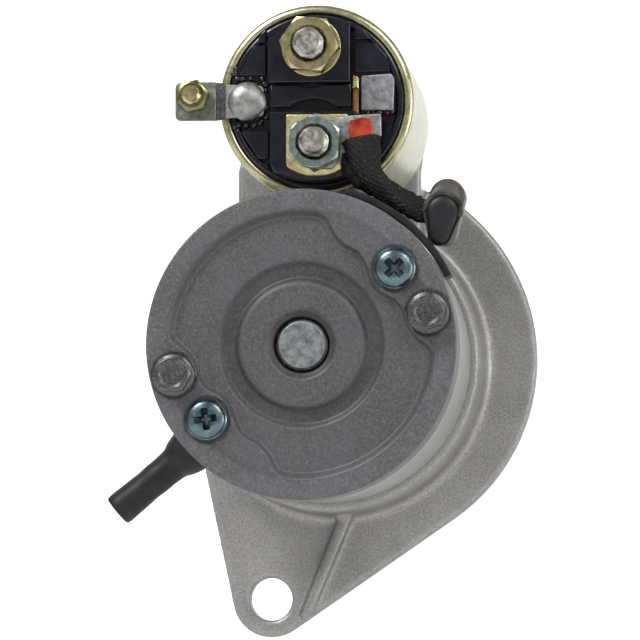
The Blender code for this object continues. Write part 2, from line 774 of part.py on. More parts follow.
def make_planets():
    for index in range(PLANETS):
        direction = planet_angle(index)
        outline = gear_outline(PLANET_TEETH, MODULE, ADDENDUM, DEDENDUM, BACKLASH,
                               planet_phase(radians(direction)))
        slab(f"planet_gear_{index + 1}", [outline, circle(PLANET_PIN_R + RUN, 24)],
             Y_GEARS, Y_GEARS + GEAR_W, steel(), at=polar(PLANET_CIRCLE, direction))


def make_ring_gear():
    spaces = gear_outline(RING_TEETH, MODULE, DEDENDUM, ADDENDUM, -BACKLASH, ring_phase(), 2)
    slab("ring_gear", [circle(RING_R, LARGE), spaces], Y_GEARS, Y_GEARS + GEAR_W,
         grey_plastic())


def make_output_shaft():
    nose_front = NOSE_LENGTH - 0.0005
    carrier_r = PLANET_CIRCLE + PLANET_PIN_R + 0.0025
    shaft = turned("output_shaft", [
        (PILOT_R + RUN, Y_CARRIER),
        (carrier_r, Y_CARRIER),
        (carrier_r, Y_CARRIER + CARRIER_T),
        (SHAFT_R, Y_CARRIER + CARRIER_T),
        (SHAFT_R, Y_STOP + STOP_T + GAP),
        (JOURNAL_R, Y_STOP + STOP_T + GAP),
        (JOURNAL_R, nose_front - 0.0006),
        (JOURNAL_R - 0.0006, nose_front),
        (0.0, nose_front),
        (0.0, Y_CARRIER + CARRIER_T + 0.002),
        (PILOT_R + RUN, Y_CARRIER + CARRIER_T + 0.002),
    ], steel(), sides=MEDIUM)
    for index in range(PLANETS):
        x, z = polar(PLANET_CIRCLE, planet_angle(index))
        pin = rod(f"planet_pin_{index + 1}", (x, Y_GEARS, z), (x, Y_CARRIER + 0.001, z),
                  PLANET_PIN_R, sides=24, helper=True)
        combine(shaft, pin, "UNION")


def make_centre_bracket():
    bearing_r = SHAFT_R + RUN + BEARING_OUT
    slab("centre_bracket", [circle(RING_R, LARGE), circle(bearing_r + GAP, MEDIUM)], Y_BRACKET,
         Y_BRACKET + BRACKET_T, steel())
    turned("centre_bearing", ring_profile(SHAFT_R + RUN, bearing_r, Y_BRACKET,
                                          Y_BRACKET + BRACKET_T), steel(), sides=MEDIUM)


# ---------------------------------------------------------------- drive

def make_clutch():
    bore = SHAFT_R + RUN
    groove = LEVER_Y - GROOVE_HALF
    turned("clutch", [
        (bore, groove - 0.0012),
        (CLUTCH_COLLAR_R, groove - 0.0012),
        (CLUTCH_COLLAR_R, groove),
        (CLUTCH_GROOVE_R, groove),
        (CLUTCH_GROOVE_R, LEVER_Y + GROOVE_HALF),
        (CLUTCH_COLLAR_R, LEVER_Y + GROOVE_HALF),
        (CLUTCH_COLLAR_R, LEVER_Y + GROOVE_HALF + 0.0015),
        (CLUTCH_R, LEVER_Y + GROOVE_HALF + 0.0030),
        (CLUTCH_R, Y_CLUTCH_FRONT - 0.0012),
        (CLUTCH_R - 0.0012, Y_CLUTCH_FRONT),
        (bore, Y_CLUTCH_FRONT),
    ], steel(), sides=MEDIUM)


def make_pinion():
    teeth = gear_outline(PINION_TEETH, PINION_MODULE, ADDENDUM, 1.0, BACKLASH, 0.0)
    pinion = as_mesh(slab("pinion", [teeth, circle(SHAFT_R + RUN, MEDIUM)], Y_PINION + NECK_W,
                          Y_PINION + NECK_W + PINION_W))
    pinion.data.materials.append(steel())
    sleeve = turned("pinion_neck", ring_profile(SHAFT_R + RUN + 0.0002, NECK_R, Y_PINION,
                                                Y_PINION + NECK_W + 0.0005), sides=MEDIUM,
                    helper=True)
    combine(pinion, sleeve, "UNION")


def make_pinion_stop():
    turned("pinion_stop", ring_profile(SHAFT_R + GAP, STOP_R, Y_STOP, Y_STOP + STOP_T), steel(),
           sides=MEDIUM)


def make_nose_bush():
    turned("nose_bush", ring_profile(JOURNAL_R + RUN, JOURNAL_R + RUN + NOSE_BUSH_WALL,
                                     NOSE_LENGTH - NOSE_END, NOSE_LENGTH - 0.0004), bronze(),
           sides=MEDIUM)


def make_shift_lever():
    y0, y1 = LEVER_Y - LEVER_T / 2, LEVER_Y + LEVER_T / 2
    hub_half = 0.0060
    hub_r = LEVER_PIN_R + 0.0019
    arm_x = CLUTCH_COLLAR_R + 0.0008
    fork_top = LEVER_PIVOT_Z - 0.009
    fork_z = fork_top - 0.005
    lever = rod("shift_lever", (-hub_half, LEVER_Y, LEVER_PIVOT_Z),
                (hub_half, LEVER_Y, LEVER_PIVOT_Z), hub_r, grey_plastic(), 24)
    finger = SOLENOID_X
    shapes = [
        block("lever_stem", (-0.0045, y0, LEVER_PIVOT_Z + 0.002),
              (0.0052, y1, SOLENOID_Z - 0.008), helper=True),
        block("lever_finger", (finger - 0.0028, LEVER_Y - 0.0016, SOLENOID_Z - 0.0095),
              (finger + 0.0028, LEVER_Y + 0.0016, SOLENOID_Z), helper=True),
        rod("lever_tip", (finger - 0.0026, LEVER_Y, SOLENOID_Z),
            (finger + 0.0026, LEVER_Y, SOLENOID_Z), 0.0028, sides=20, helper=True),
        block("lever_neck", (-0.005, y0, fork_z + 0.002), (0.005, y1, LEVER_PIVOT_Z - 0.002),
              helper=True),
        block("lever_bridge", (-arm_x - LEVER_ARM_W + 0.0001, y0 + 0.0001, fork_z),
              (arm_x + LEVER_ARM_W - 0.0001, y1 - 0.0001, fork_top), helper=True),
    ]
    for sign in (-1, 1):
        low, high = sorted((sign * arm_x, sign * (arm_x + LEVER_ARM_W)))
        shapes.append(block(f"lever_arm_{sign}", (low, LEVER_Y - 0.0018, -0.001),
                            (high, LEVER_Y + 0.0018, fork_top - 0.0007), helper=True))
        shapes.append(rod(f"lever_pad_{sign}", (sign * (CLUTCH_GROOVE_R + 0.001), LEVER_Y, 0.0),
                          (sign * (arm_x + LEVER_ARM_W - 0.0003), LEVER_Y, 0.0), FORK_PAD_R,
                          sides=20, helper=True))
    for shape in shapes:
        combine(lever, shape, "UNION")
    combine(lever, rod("lever_bore", (-0.02, LEVER_Y, LEVER_PIVOT_Z),
                       (0.02, LEVER_Y, LEVER_PIVOT_Z), LEVER_PIN_R + RUN, sides=24, helper=True))


def make_lever_pin():
    rod("lever_pin", (COLUMN_LEFT + 0.001, LEVER_Y, LEVER_PIVOT_Z),
        (COLUMN_RIGHT - 0.001, LEVER_Y, LEVER_PIVOT_Z), LEVER_PIN_R, steel(), 24)


# ---------------------------------------------------------------- front housing

def flange_outline():
    """The mounting flange's edge, clockwise from the column's right side."""
    lobe = (LOBE_SHIFT, LOBE_SHIFT)
    ear = (EAR_X, EAR_Z)
    to_lobe = (lobe[0] - EAR_X, lobe[1] - EAR_Z)
    to_root = (ARM_ROOT_X - EAR_X, ARM_ROOT_Z - EAR_Z)
    tangent = degrees(atan2(*to_lobe[::-1]) - acos((EAR_R - LOBE_R) / hypot(*to_lobe)))
    arm_side = degrees(atan2(*to_root[::-1]) + acos(EAR_R / hypot(*to_root)))
    left_r = COLLAR_R + 0.0015
    points = arc(lobe, LOBE_R, 62.0, tangent, 30)
    points += arc(ear, EAR_R, tangent, arm_side - 360.0, 12)
    points.append((ARM_ROOT_X, ARM_ROOT_Z))
    points += arc((0, 0), left_r, 207.0, 132.0, 10)
    points += [(-0.0105, left_r * 0.95)]
    points += arc((UPPER_EAR_X, UPPER_EAR_Z), UPPER_EAR_R, 180.0, 20.0, 10)
    points += [(0.0140, UPPER_EAR_Z - 0.006), (0.0140, left_r * 0.95)]
    return points


def column_outline(width_left, width_right, low, centre_z, radius):
    """A plate that rises from the shaft and ends in a round top about the solenoid's axis."""
    top = arc((SOLENOID_X, centre_z), radius, 0.0, 180.0, 20)
    return [(width_right, low), (width_right, centre_z - 0.012)] + top + [
        (width_left, centre_z - 0.012), (width_left, low)]


def housing_body():
    collar_fillet = 0.0015
    housing = turned("front_housing", [
        (CAVITY_R, Y_COLLAR),
        (COLLAR_R - 0.0006, Y_COLLAR),
        (COLLAR_R, Y_COLLAR + 0.0006),
        (COLLAR_R, -FLANGE_T - collar_fillet),
        (COLLAR_R + collar_fillet, -FLANGE_T + 0.0005),
        (COLLAR_R + collar_fillet, -0.001),
        (NOSE_R, -0.001),
        (NOSE_R, NOSE_LENGTH - 0.002),
        (NOSE_R - 0.002, NOSE_LENGTH),
        (JOURNAL_R + RUN + NOSE_BUSH_WALL + GAP, NOSE_LENGTH),
        (JOURNAL_R + RUN + NOSE_BUSH_WALL + GAP, NOSE_LENGTH - NOSE_END),
        (NOSE_BORE_R, NOSE_LENGTH - NOSE_END),
        (NOSE_BORE_R, 0.004),
        (CLUTCH_BORE_R, 0.002),
        (CLUTCH_BORE_R, CAVITY_FRONT),
        (CAVITY_R, CAVITY_FRONT),
    ], cast_aluminium(), sides=LARGE)
    return housing


def add_housing_walls(housing):
    flange = as_mesh(slab("flange", [flange_outline(), circle(COLLAR_R - 0.004, LARGE)],
                          -FLANGE_T, 0.0, helper=True))
    combine(housing, flange, "UNION")
    plate = as_mesh(slab("column_plate", [column_outline(
        COLUMN_LEFT, COLUMN_RIGHT, CAVITY_R + 0.0011, SOLENOID_Z, CASE_R - 0.0006)],
        Y_COLUMN, Y_COLUMN + COLUMN_PLATE_T, helper=True))
    combine(housing, plate, "UNION")
    body = block("column_body", (COLUMN_LEFT, Y_COLUMN, CAVITY_R + 0.002),
                 (COLUMN_RIGHT, -0.0004, SOLENOID_Z - SOLENOID_R * 0.62), helper=True)
    combine(housing, body, "UNION")
    box_half = 0.0105
    chamber = block("chamber_walls", (SOLENOID_X - box_half, Y_COLUMN + 0.001, CAVITY_R + 0.0001),
                    (SOLENOID_X + box_half, -0.0006, SOLENOID_Z + 0.0115), helper=True)
    combine(housing, chamber, "UNION")
    rib_root, rib_foot = COLLAR_R - 0.0030, EAR_Z - 0.0050
    rib = [(-0.0103, rib_foot), (-0.0073, rib_foot), (0.0061, -rib_root), (0.0022, -rib_root)]
    combine(housing, as_mesh(slab("arm_rib", [rib], -FLANGE_T - 0.003, -FLANGE_T + 0.001,
                                  helper=True)), "UNION")


def cut_housing(housing):
    clutch_room = block("fork_room", (-CLUTCH_BORE_R + 0.001, Y_CLUTCH - 0.0005, 0.0),
                        (CLUTCH_BORE_R - 0.001, -0.0026, LEVER_PIVOT_Z + 0.010), helper=True)
    lever_room = block("lever_room", (SOLENOID_X - 0.0076, Y_COLUMN + 0.0022, LEVER_PIVOT_Z),
                       (SOLENOID_X + 0.0076, -0.0034, SOLENOID_Z + 0.0082), helper=True)
    window = block("window", (-NOSE_R - 0.002, 0.0085, -NOSE_R - 0.002),
                   (-NOSE_R * 0.22, NOSE_LENGTH - NOSE_END, NOSE_R + 0.002), helper=True)
    seal_room = block("seal_room", (SOLENOID_X - 0.0076, Y_COLUMN - 0.002, SOLENOID_Z - 0.0222),
                      (SOLENOID_X + 0.0076, Y_COLUMN + 0.005, SOLENOID_Z - 0.0138), helper=True)
    for cutter in (clutch_room, lever_room, window, seal_room):
        combine(housing, cutter)
    drill(housing, "case_room", (SOLENOID_X, SOLENOID_Z), CASE_R + 0.0006, Y_COLLAR - 0.004,
          Y_COLUMN, LARGE)
    drill(housing, "plunger_room", (SOLENOID_X, SOLENOID_Z), PLUNGER_R + 0.0032,
          Y_COLUMN - 0.004, Y_COLUMN + 0.0045, MEDIUM)
    drill(housing, "ear_hole", (EAR_X, EAR_Z), EAR_HOLE_R, -FLANGE_T - 0.01, 0.01, MEDIUM)
    drill(housing, "upper_hole", (UPPER_EAR_X, UPPER_EAR_Z), UPPER_HOLE_R, -0.0185, 0.01, MEDIUM)
    combine(housing, rod("lever_pin_hole", (COLUMN_LEFT - 0.004, LEVER_Y, LEVER_PIVOT_Z),
                         (COLUMN_RIGHT + 0.004, LEVER_Y, LEVER_PIVOT_Z), LEVER_PIN_R + GAP,
                         sides=24, helper=True))
    for side in BOTH:
        drill(housing, f"bolt_thread_{side:.0f}", polar(BOLT_CIRCLE, BOLT_ANGLE + side),
              BOLT_R + GAP, Y_COLLAR - 0.004, Y_COLLAR + 0.0195, 20)
    for sign in (-1, 1):
        drill(housing, f"mount_hole_{sign}", (SOLENOID_X + sign * MOUNT_SCREW_X, SOLENOID_Z),
              MOUNT_SCREW_R + GAP, Y_COLUMN - 0.004, -0.004, 20)


def make_front_housing():
    housing = housing_body()
    add_housing_walls(housing)
    cut_housing(housing)
    for modifier in housing.modifiers:
        if modifier.type == "BOOLEAN":
            modifier.solver = "MANIFOLD"


def make_lever_seal():
    block("lever_seal", (SOLENOID_X - 0.0073, Y_COLUMN + 0.0001, SOLENOID_Z - 0.0219),
          (SOLENOID_X + 0.0073, Y_COLUMN + 0.0030, SOLENOID_Z - 0.0141), black_rubber())


# ---------------------------------------------------------------- solenoid

SOLENOID = (SOLENOID_X, SOLENOID_Z)


def beside_solenoid(x, z):
    return SOLENOID_X + x, SOLENOID_Z + z


def make_solenoid_case():
    inner = CASE_R - CASE_WALL
    case = turned("solenoid_case", [
        (SOLENOID_R - RING_LAND, Y_CASE_REAR),
        (SOLENOID_R - 0.001, Y_CASE_REAR),
        (SOLENOID_R, Y_CASE_REAR + 0.001),
        (SOLENOID_R, Y_CASE_REAR + RING_DEPTH),
        (CASE_R, Y_CASE_REAR + RING_DEPTH + 0.0006),
        (CASE_R, Y_CASE_FRONT - 0.0006),
        (CASE_R - 0.0006, Y_CASE_FRONT),
        (PLUNGER_R + SLIDE, Y_CASE_FRONT),
        (PLUNGER_R + SLIDE, Y_CASE_FRONT - CASE_FRONT_T),
        (inner, Y_CASE_FRONT - CASE_FRONT_T),
        (inner, Y_CASE_REAR + 0.0013),
        (SOLENOID_R - RING_LAND, Y_CASE_REAR + 0.0013),
    ], yellow_zinc(), SOLENOID, LARGE)
    for sign in (-1, 1):
        drill(case, f"case_thread_{sign}", beside_solenoid(sign * MOUNT_SCREW_X, 0.0),
              MOUNT_SCREW_R + GAP, Y_CASE_FRONT - CASE_FRONT_T + 0.0006, Y_CASE_FRONT + 0.002, 20)


def make_solenoid_screws():
    head = Y_COLUMN + COLUMN_PLATE_T + GAP
    for sign, word in ((-1, "left"), (1, "right")):
        turned(f"solenoid_screw_{word}", [
            (0.0, Y_CASE_FRONT - CASE_FRONT_T + 0.0012),
            (MOUNT_SCREW_R, Y_CASE_FRONT - CASE_FRONT_T + 0.0012),
            (MOUNT_SCREW_R, head),
            (MOUNT_HEAD_R, head),
            (MOUNT_HEAD_R, head + 0.0028),
            (MOUNT_HEAD_R - 0.0012, head + 0.0036),
            (0.0, head + 0.0038),
        ], steel(), beside_solenoid(sign * MOUNT_SCREW_X, 0.0), 24)


def cap_blocks():
    """The raised blocks on the cap's face, as outlines about the solenoid's axis."""
    upper = [(-0.0125, 0.0188), (-0.0125, 0.0045), (0.0090, 0.0045), (0.0090, 0.0196)]
    upper += arc((0, 0), 0.0215, 64.0, 121.0, 8)[1:-1]
    lower = [(-0.0110, -0.0040), (-0.0110, -0.0125)]
    lower += arc((-0.0070, -0.0125), 0.0040, 180.0, 235.0, 4)[1:]
    lower += arc((0, 0), 0.0208, 243.0, 300.0, 8)
    lower += [(0.0104, -0.0060), (0.0104, -0.0040)]
    left = [(-0.0206, -0.0052), (-0.0206, 0.0052), (-0.0140, 0.0052), (-0.0140, -0.0052)]
    right = [(0.0120, -0.0035), (0.0120, 0.0065), (0.0200, 0.0065), (0.0205, -0.0035)]
    return {"upper": upper[::-1], "lower": lower, "left": left[::-1], "right": right[::-1]}


def make_solenoid_cap():
    cup_front = Y_CASE_REAR + CAP_CUP_DEPTH
    under_ring = Y_CASE_REAR + 0.0013 + GAP
    cap = turned("solenoid_cap", [
        (0.0, Y_CAP_FLOOR),
        (CAP_R, Y_CAP_FLOOR),
        (CAP_R, under_ring),
        (CAP_CUP_R, under_ring),
        (CAP_CUP_R, cup_front),
        (CAP_CUP_R - CAP_WALL, cup_front),
        (CAP_CUP_R - CAP_WALL, Y_CAP_FLOOR + CAP_FLOOR),
        (0.0, Y_CAP_FLOOR + CAP_FLOOR),
    ], black_moulding(), SOLENOID, LARGE)
    for word, outline in cap_blocks().items():
        low = Y_CAP_TOP if word in ("upper", "lower") else Y_CAP_FLOOR - 0.0016
        raised = as_mesh(slab(f"cap_{word}", [outline], low, Y_CAP_FLOOR + 0.001, at=SOLENOID,
                              helper=True))
        combine(cap, raised, "UNION")
    for word, x, z in (("up", STUD_UP_X, STUD_UP_Z), ("low", STUD_LOW_X, STUD_LOW_Z)):
        drill(cap, f"stud_hole_{word}", beside_solenoid(x, z), STUD_R + GAP, Y_CAP_TOP - 0.003,
              Y_CAP_FLOOR + CAP_FLOOR + 0.003)


def make_studs():
    back = Y_CAP_FLOOR + CAP_FLOOR + GAP
    end = Y_CAP_TOP - STUD_REACH
    for name, x, z in (("battery_stud", STUD_UP_X, STUD_UP_Z),
                       ("motor_stud", STUD_LOW_X, STUD_LOW_Z)):
        turned(name, [
            (0.0, end), (STUD_R - 0.0012, end), (STUD_R, end + 0.0012), (STUD_R, back),
            (STUD_HEAD_R, back), (STUD_HEAD_R, back + STUD_HEAD_T), (0.0, back + STUD_HEAD_T),
        ], steel() if name == "motor_stud" else yellow_zinc(), beside_solenoid(x, z), SMALL)


def make_nut(name, at, back, turn, finish):
    outer = NUT_AF / 2 / cos(pi / 6)
    nut = turned(name, [
        (STUD_R + GAP, back - NUT_H),
        (NUT_AF / 2 * 0.97, back - NUT_H),
        (outer, back - NUT_H + 0.0011),
        (outer, back),
        (STUD_R + GAP, back),
    ], finish, at, MEDIUM)
    sides = as_mesh(slab(f"{name}_sides", [hexagon(NUT_AF, turn)], back - NUT_H - 0.001,
                         back + 0.001, at=at, helper=True))
    combine(nut, sides, "INTERSECT")


def make_terminals():
    up, low = beside_solenoid(STUD_UP_X, STUD_UP_Z), beside_solenoid(STUD_LOW_X, STUD_LOW_Z)
    back = Y_CAP_TOP - GAP
    turned("battery_washer", ring_profile(STUD_R + GAP, WASHER_R, back - WASHER_T, back),
           yellow_zinc(), up, SMALL)
    make_nut("battery_nut", up, back - WASHER_T - GAP, 8.0, yellow_zinc())
    half = SQUARE / 2
    square = [(-half, -half), (half, -half), (half, half), (-half, half)]
    slab("motor_washer", [square, circle(STUD_R + GAP, 24)], back - WASHER_T, back,
         yellow_zinc(), low)
    lug_back = back - WASHER_T - GAP
    lug = [(-0.0070, -0.0070), (0.0045, -0.0070), (0.0088, -0.0004), (0.0171, 0.0020),
           (0.0168, 0.0080), (0.0030, 0.0071), (-0.0070, 0.0071)]
    slab("motor_lug", [lug, circle(STUD_R + GAP, 24)], lug_back - LUG_T, lug_back, steel(), low)
    make_nut("motor_nut", low, lug_back - LUG_T - GAP, 20.0, blue_zinc())


def make_switch_terminal():
    back = Y_CAP_FLOOR - 0.0016 - GAP
    half = TAB_H / 2
    screw = (TAB_SCREW_X, TAB_SCREW_Z)
    corner = 0.0022
    outline = [(TAB_RIGHT, -half * 0.8), (TAB_RIGHT, half * 0.8), (TAB_RIGHT - 0.010, half)]
    outline += arc((TAB_LEFT + corner, half - corner), corner, 90.0, 180.0, 4)
    outline += arc((TAB_LEFT + corner, -half + corner), corner, 180.0, 270.0, 4)
    outline += [(TAB_RIGHT - 0.010, -half)]
    slab("switch_terminal", [outline, circle(TAB_SCREW_R + GAP, 20, screw)], back - TAB_T, back,
         steel(), SOLENOID)
    at = beside_solenoid(*screw)
    head = back + GAP + 0.0026
    end = back - TAB_T - 0.0068
    screw_body = turned("switch_screw", [
        (0.0, end), (TAB_SCREW_R - 0.0006, end), (TAB_SCREW_R, end + 0.0006),
        (TAB_SCREW_R, back + GAP), (TAB_SCREW_HEAD_R, back + GAP), (TAB_SCREW_HEAD_R, head),
        (0.0, head),
    ], yellow_zinc(), at, 20)
    nut = as_mesh(slab("switch_nut", [hexagon(0.008, 12.0)], back - TAB_T - GAP - 0.0036,
                       back - TAB_T - GAP, at=at, helper=True))
    combine(screw_body, nut, "UNION")


def make_coil_and_core():
    bore = PLUNGER_R + SLIDE
    coil_back = Y_CASE_REAR + CAP_CUP_DEPTH + 0.0045
    coil_front = Y_CASE_FRONT - CASE_FRONT_T - GAP
    outer = CASE_R - CASE_WALL - GAP
    turned("solenoid_coil", ring_profile(bore, outer, coil_back, coil_front), copper(), SOLENOID,
           MEDIUM)
    core_back = Y_CASE_REAR + CAP_CUP_DEPTH + GAP
    core_r = PLUNGER_R - 0.0002
    turned("solenoid_core", [
        (CONTACT_ROD_R + RUN, core_back), (outer, core_back), (outer, coil_back - GAP),
        (core_r, coil_back - GAP), (core_r, coil_back + 0.012),
        (CONTACT_ROD_R + RUN, coil_back + 0.012),
    ], steel(), SOLENOID, MEDIUM)


def core_front():
    return Y_CASE_REAR + CAP_CUP_DEPTH + 0.0045 + 0.012


def plunger_rear():
    return core_front() + PLUNGER_TRAVEL + 0.0008


def make_plunger():
    rear = plunger_rear()
    front = Y_CASE_FRONT - 0.0006
    head_back, head_front = LEVER_Y - 0.0062, LEVER_Y + 0.0058
    plunger = turned("plunger", [
        (0.0, rear + SPRING_ROOM), (SPRING_BORE_R, rear + SPRING_ROOM), (SPRING_BORE_R, rear),
        (PLUNGER_R, rear), (PLUNGER_R, front),
        (PLUNGER_HEAD_R, front + 0.0006), (PLUNGER_HEAD_R, head_front), (0.0, head_front),
    ], steel(), SOLENOID, MEDIUM)
    pocket = block("lever_pocket", (SOLENOID_X - 0.0034, LEVER_Y - 0.0033, SOLENOID_Z - 0.012),
                   (SOLENOID_X + 0.0034, LEVER_Y + 0.0033, SOLENOID_Z + 0.0042), helper=True)
    combine(plunger, pocket)
    combine(plunger, block("pocket_mouth", (SOLENOID_X - 0.012, head_back, SOLENOID_Z - 0.012),
                           (SOLENOID_X + 0.012, head_front + 0.001, SOLENOID_Z - 0.0044),
                           helper=True))


def make_plunger_spring():
    start = core_front() + GAP + SPRING_WIRE_R
    end = plunger_rear() + SPRING_ROOM - GAP - SPRING_WIRE_R
    per_turn = 12
    count = SPRING_TURNS * per_turn
    curve = bpy.data.curves.new("plunger_spring", "CURVE")
    curve.dimensions = "3D"
    curve.bevel_depth = SPRING_WIRE_R
    curve.bevel_resolution = 0
    curve.use_fill_caps = True
    spline = curve.splines.new("POLY")
    spline.points.add(count)
    for index, point in enumerate(spline.points):
        turn = 2 * pi * index / per_turn
        y = start + (end - start) * index / count
        point.co = (SOLENOID_X + SPRING_R * cos(turn), y, SOLENOID_Z + SPRING_R * sin(turn), 1.0)
    add_object("plunger_spring", curve, steel())


def make_contact_rod():
    front = plunger_rear() + SPRING_ROOM - PLUNGER_TRAVEL + CONTACT_TRAVEL - 2 * GAP
    stud_face = Y_CAP_FLOOR + CAP_FLOOR + GAP + STUD_HEAD_T
    disc = stud_face + CONTACT_TRAVEL + GAP
    turned("contact_rod", [
        (0.0, disc), (CONTACT_R, disc), (CONTACT_R, disc + CONTACT_T),
        (CONTACT_ROD_R + 0.0022, disc + CONTACT_T), (CONTACT_ROD_R, disc + CONTACT_T + 0.0022),
        (CONTACT_ROD_R, front), (0.0, front),
    ], copper(), SOLENOID, MEDIUM)


# ---------------------------------------------------------------- drain, boot and lead

def make_drain_tube():
    x, z = polar(1.0, DRAIN_ANGLE)
    along = Vector((x, 0.0, z))
    foot = Vector((0.0, DRAIN_Y, 0.0))
    base = YOKE_R - 0.004
    tube = rod("drain_tube", foot + along * base, foot + along * DRAIN_END, DRAIN_R,
               black_rubber(), 24)
    combine(tube, rod("drain_base", foot + along * (base + 0.0005),
                      foot + along * (YOKE_R + DRAIN_BASE_L), DRAIN_BASE_R, sides=24,
                      helper=True, end_radius=DRAIN_BASE_R - 0.0008), "UNION")
    combine(tube, rod("drain_bore", foot + along * (YOKE_R + 0.003),
                      foot + along * (DRAIN_END + 0.004), DRAIN_BORE_R, sides=20, helper=True))
    drill(tube, "drain_saddle", (0.0, 0.0), YOKE_R + GAP, DRAIN_Y - 0.02, DRAIN_Y + 0.02, LARGE)


def boot_top():
    return polar(COVER_R + BOOT_TOP_OUT, BOOT_TOP_ANGLE)


def make_lead_boot():
    """A soft cap over the lead's end, on a strip that follows the cover's edge."""
    back, front = Y_COVER + BOOT_SET, Y_COVER + BOOT_SET + BOOT_DEPTH
    heel = polar(COVER_R + BOOT_HEEL_OUT, BOOT_HEEL_ANGLE)
    cap = arc(boot_top(), BOOT_TOP_R, -20.0, 195.0, 12)
    cap += arc(heel, BOOT_HEEL_R, 170.0, 330.0, 5)
    boot = as_mesh(slab("lead_boot", [cap], back, front, black_rubber()))
    inner, outer = COVER_R + GAP, COVER_R + STRIP_T
    strip = arc((0, 0), outer, STRIP_FIRST, STRIP_LAST, 8)
    strip += arc((0, 0), inner - 0.003, STRIP_LAST, STRIP_FIRST, 8)
    combine(boot, as_mesh(slab("boot_strip", [strip], back + 0.002, front - 0.001,
                               helper=True)), "UNION")
    drill(boot, "boot_saddle", (0.0, 0.0), inner, back - 0.01, front + 0.01, LARGE)


def lead_route():
    """From the lug's weld, down past the solenoid and across into the boot."""
    lug_back = Y_CAP_TOP - 2 * GAP - WASHER_T
    start = Vector((SOLENOID_X + LEAD_DROP_X, lug_back - LUG_T - LEAD_R - GAP,
                    SOLENOID_Z - LEAD_DROP_Z))
    top_x, top_z = boot_top()
    end = Vector((top_x - LEAD_INTO_BOOT[0], Y_COVER + BOOT_SET + LEAD_INTO_BOOT[2],
                  top_z - LEAD_INTO_BOOT[1]))
    way = end - start
    return [(start.x + way.x * across, start.y + way.y * forward, start.z + way.z * down)
            for across, down, forward in LEAD_SHAPE]


def smooth_route(route, per_span=3):
    """Points along a Catmull-Rom curve through the route's own points."""
    nodes = [Vector(p) for p in route]
    nodes = [2 * nodes[0] - nodes[1]] + nodes + [2 * nodes[-1] - nodes[-2]]
    points = []
    for a, b, c, d in zip(nodes, nodes[1:], nodes[2:], nodes[3:]):
        for step in range(per_span):
            t = step / per_span
            points.append(0.5 * (2 * b + (c - a) * t + (2 * a - 5 * b + 4 * c - d) * t ** 2
                                 + (3 * b - 3 * c + d - a) * t ** 3))
    return points + [nodes[-2]]


def make_motor_lead():
    curve = bpy.data.curves.new("motor_lead", "CURVE")
    curve.dimensions = "3D"
    curve.bevel_depth = LEAD_R
    curve.bevel_resolution = 2
    curve.use_fill_caps = True
    spline = curve.splines.new("POLY")
    route = smooth_route(lead_route())
    spline.points.add(len(route) - 1)
    for point, place in zip(spline.points, route):
        point.co = (*place, 1.0)
    add_object("motor_lead", curve, black_rubber())


# ---------------------------------------------------------------- the whole starter

clear_scene()
PARTS = add_collection("starter_motor")
HELPERS = add_collection("cutters")

make_rear_cover()
make_rear_bush()
make_through_bolts()
make_brush_screws()
make_brush_plate()
make_brushes()
make_yoke()
make_magnets()
make_armature_shaft()
make_armature_core()
make_armature_winding()
make_commutator()
make_motor_plate()
make_sun_gear()
make_planets()
make_ring_gear()
make_output_shaft()
make_centre_bracket()
make_clutch()
make_pinion()
make_pinion_stop()
make_nose_bush()
make_shift_lever()
make_lever_pin()
make_front_housing()
make_lever_seal()
make_solenoid_case()
make_solenoid_screws()
make_solenoid_cap()
make_studs()
make_terminals()
make_switch_terminal()
make_coil_and_core()
make_plunger()
make_plunger_spring()
make_contact_rod()
make_drain_tube()
make_lead_boot()
make_motor_lead()
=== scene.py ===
"""Looks of the starter motor: detailed meshes, materials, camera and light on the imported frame.

Shapes are drawn in millimetres and become metres as each mesh is made. +Y runs from the rear cover
to the pinion, and most pieces are turned about lines along Y. Places come from the boxes of
the CAD nodes.
"""

import json
from math import asin, atan2, cos, hypot, pi, radians, sin, sqrt

import bmesh
import bpy
import numpy as np
from mathutils import Matrix, Vector, noise


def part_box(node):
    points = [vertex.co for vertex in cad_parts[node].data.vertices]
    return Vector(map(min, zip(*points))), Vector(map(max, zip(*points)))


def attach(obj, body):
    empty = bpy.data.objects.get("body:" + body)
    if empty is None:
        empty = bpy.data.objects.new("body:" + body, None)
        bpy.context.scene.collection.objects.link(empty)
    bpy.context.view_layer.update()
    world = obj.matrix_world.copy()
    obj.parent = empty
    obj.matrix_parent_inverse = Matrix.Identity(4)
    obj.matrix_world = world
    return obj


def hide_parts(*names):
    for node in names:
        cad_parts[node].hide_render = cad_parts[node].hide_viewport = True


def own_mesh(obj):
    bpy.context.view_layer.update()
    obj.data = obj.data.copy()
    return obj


MM = 0.001
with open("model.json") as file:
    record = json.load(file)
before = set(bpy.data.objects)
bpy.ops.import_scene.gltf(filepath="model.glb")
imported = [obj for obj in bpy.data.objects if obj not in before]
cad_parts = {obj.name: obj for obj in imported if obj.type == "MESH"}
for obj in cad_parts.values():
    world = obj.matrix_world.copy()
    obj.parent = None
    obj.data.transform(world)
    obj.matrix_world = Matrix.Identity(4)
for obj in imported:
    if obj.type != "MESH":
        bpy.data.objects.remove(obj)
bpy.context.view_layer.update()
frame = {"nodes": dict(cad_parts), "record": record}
SLOT_OF = {row["node"]: row["material_slot"] for row in frame["record"]["subparts"]}


class Span:
    """A CAD node's box in millimetres, and the line along Y through its middle."""

    def __init__(self, node):
        low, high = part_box(node)
        self.low, self.high = low / MM, high / MM
        self.axis = ((self.low.x + self.high.x) / 2, (self.low.z + self.high.z) / 2)
        self.rear, self.front = self.low.y, self.high.y
        self.radius = (self.high.x - self.low.x) / 2


def polar(radius, angle, centre=(0.0, 0.0)):
    return centre[0] + radius * cos(radians(angle)), centre[1] + radius * sin(radians(angle))


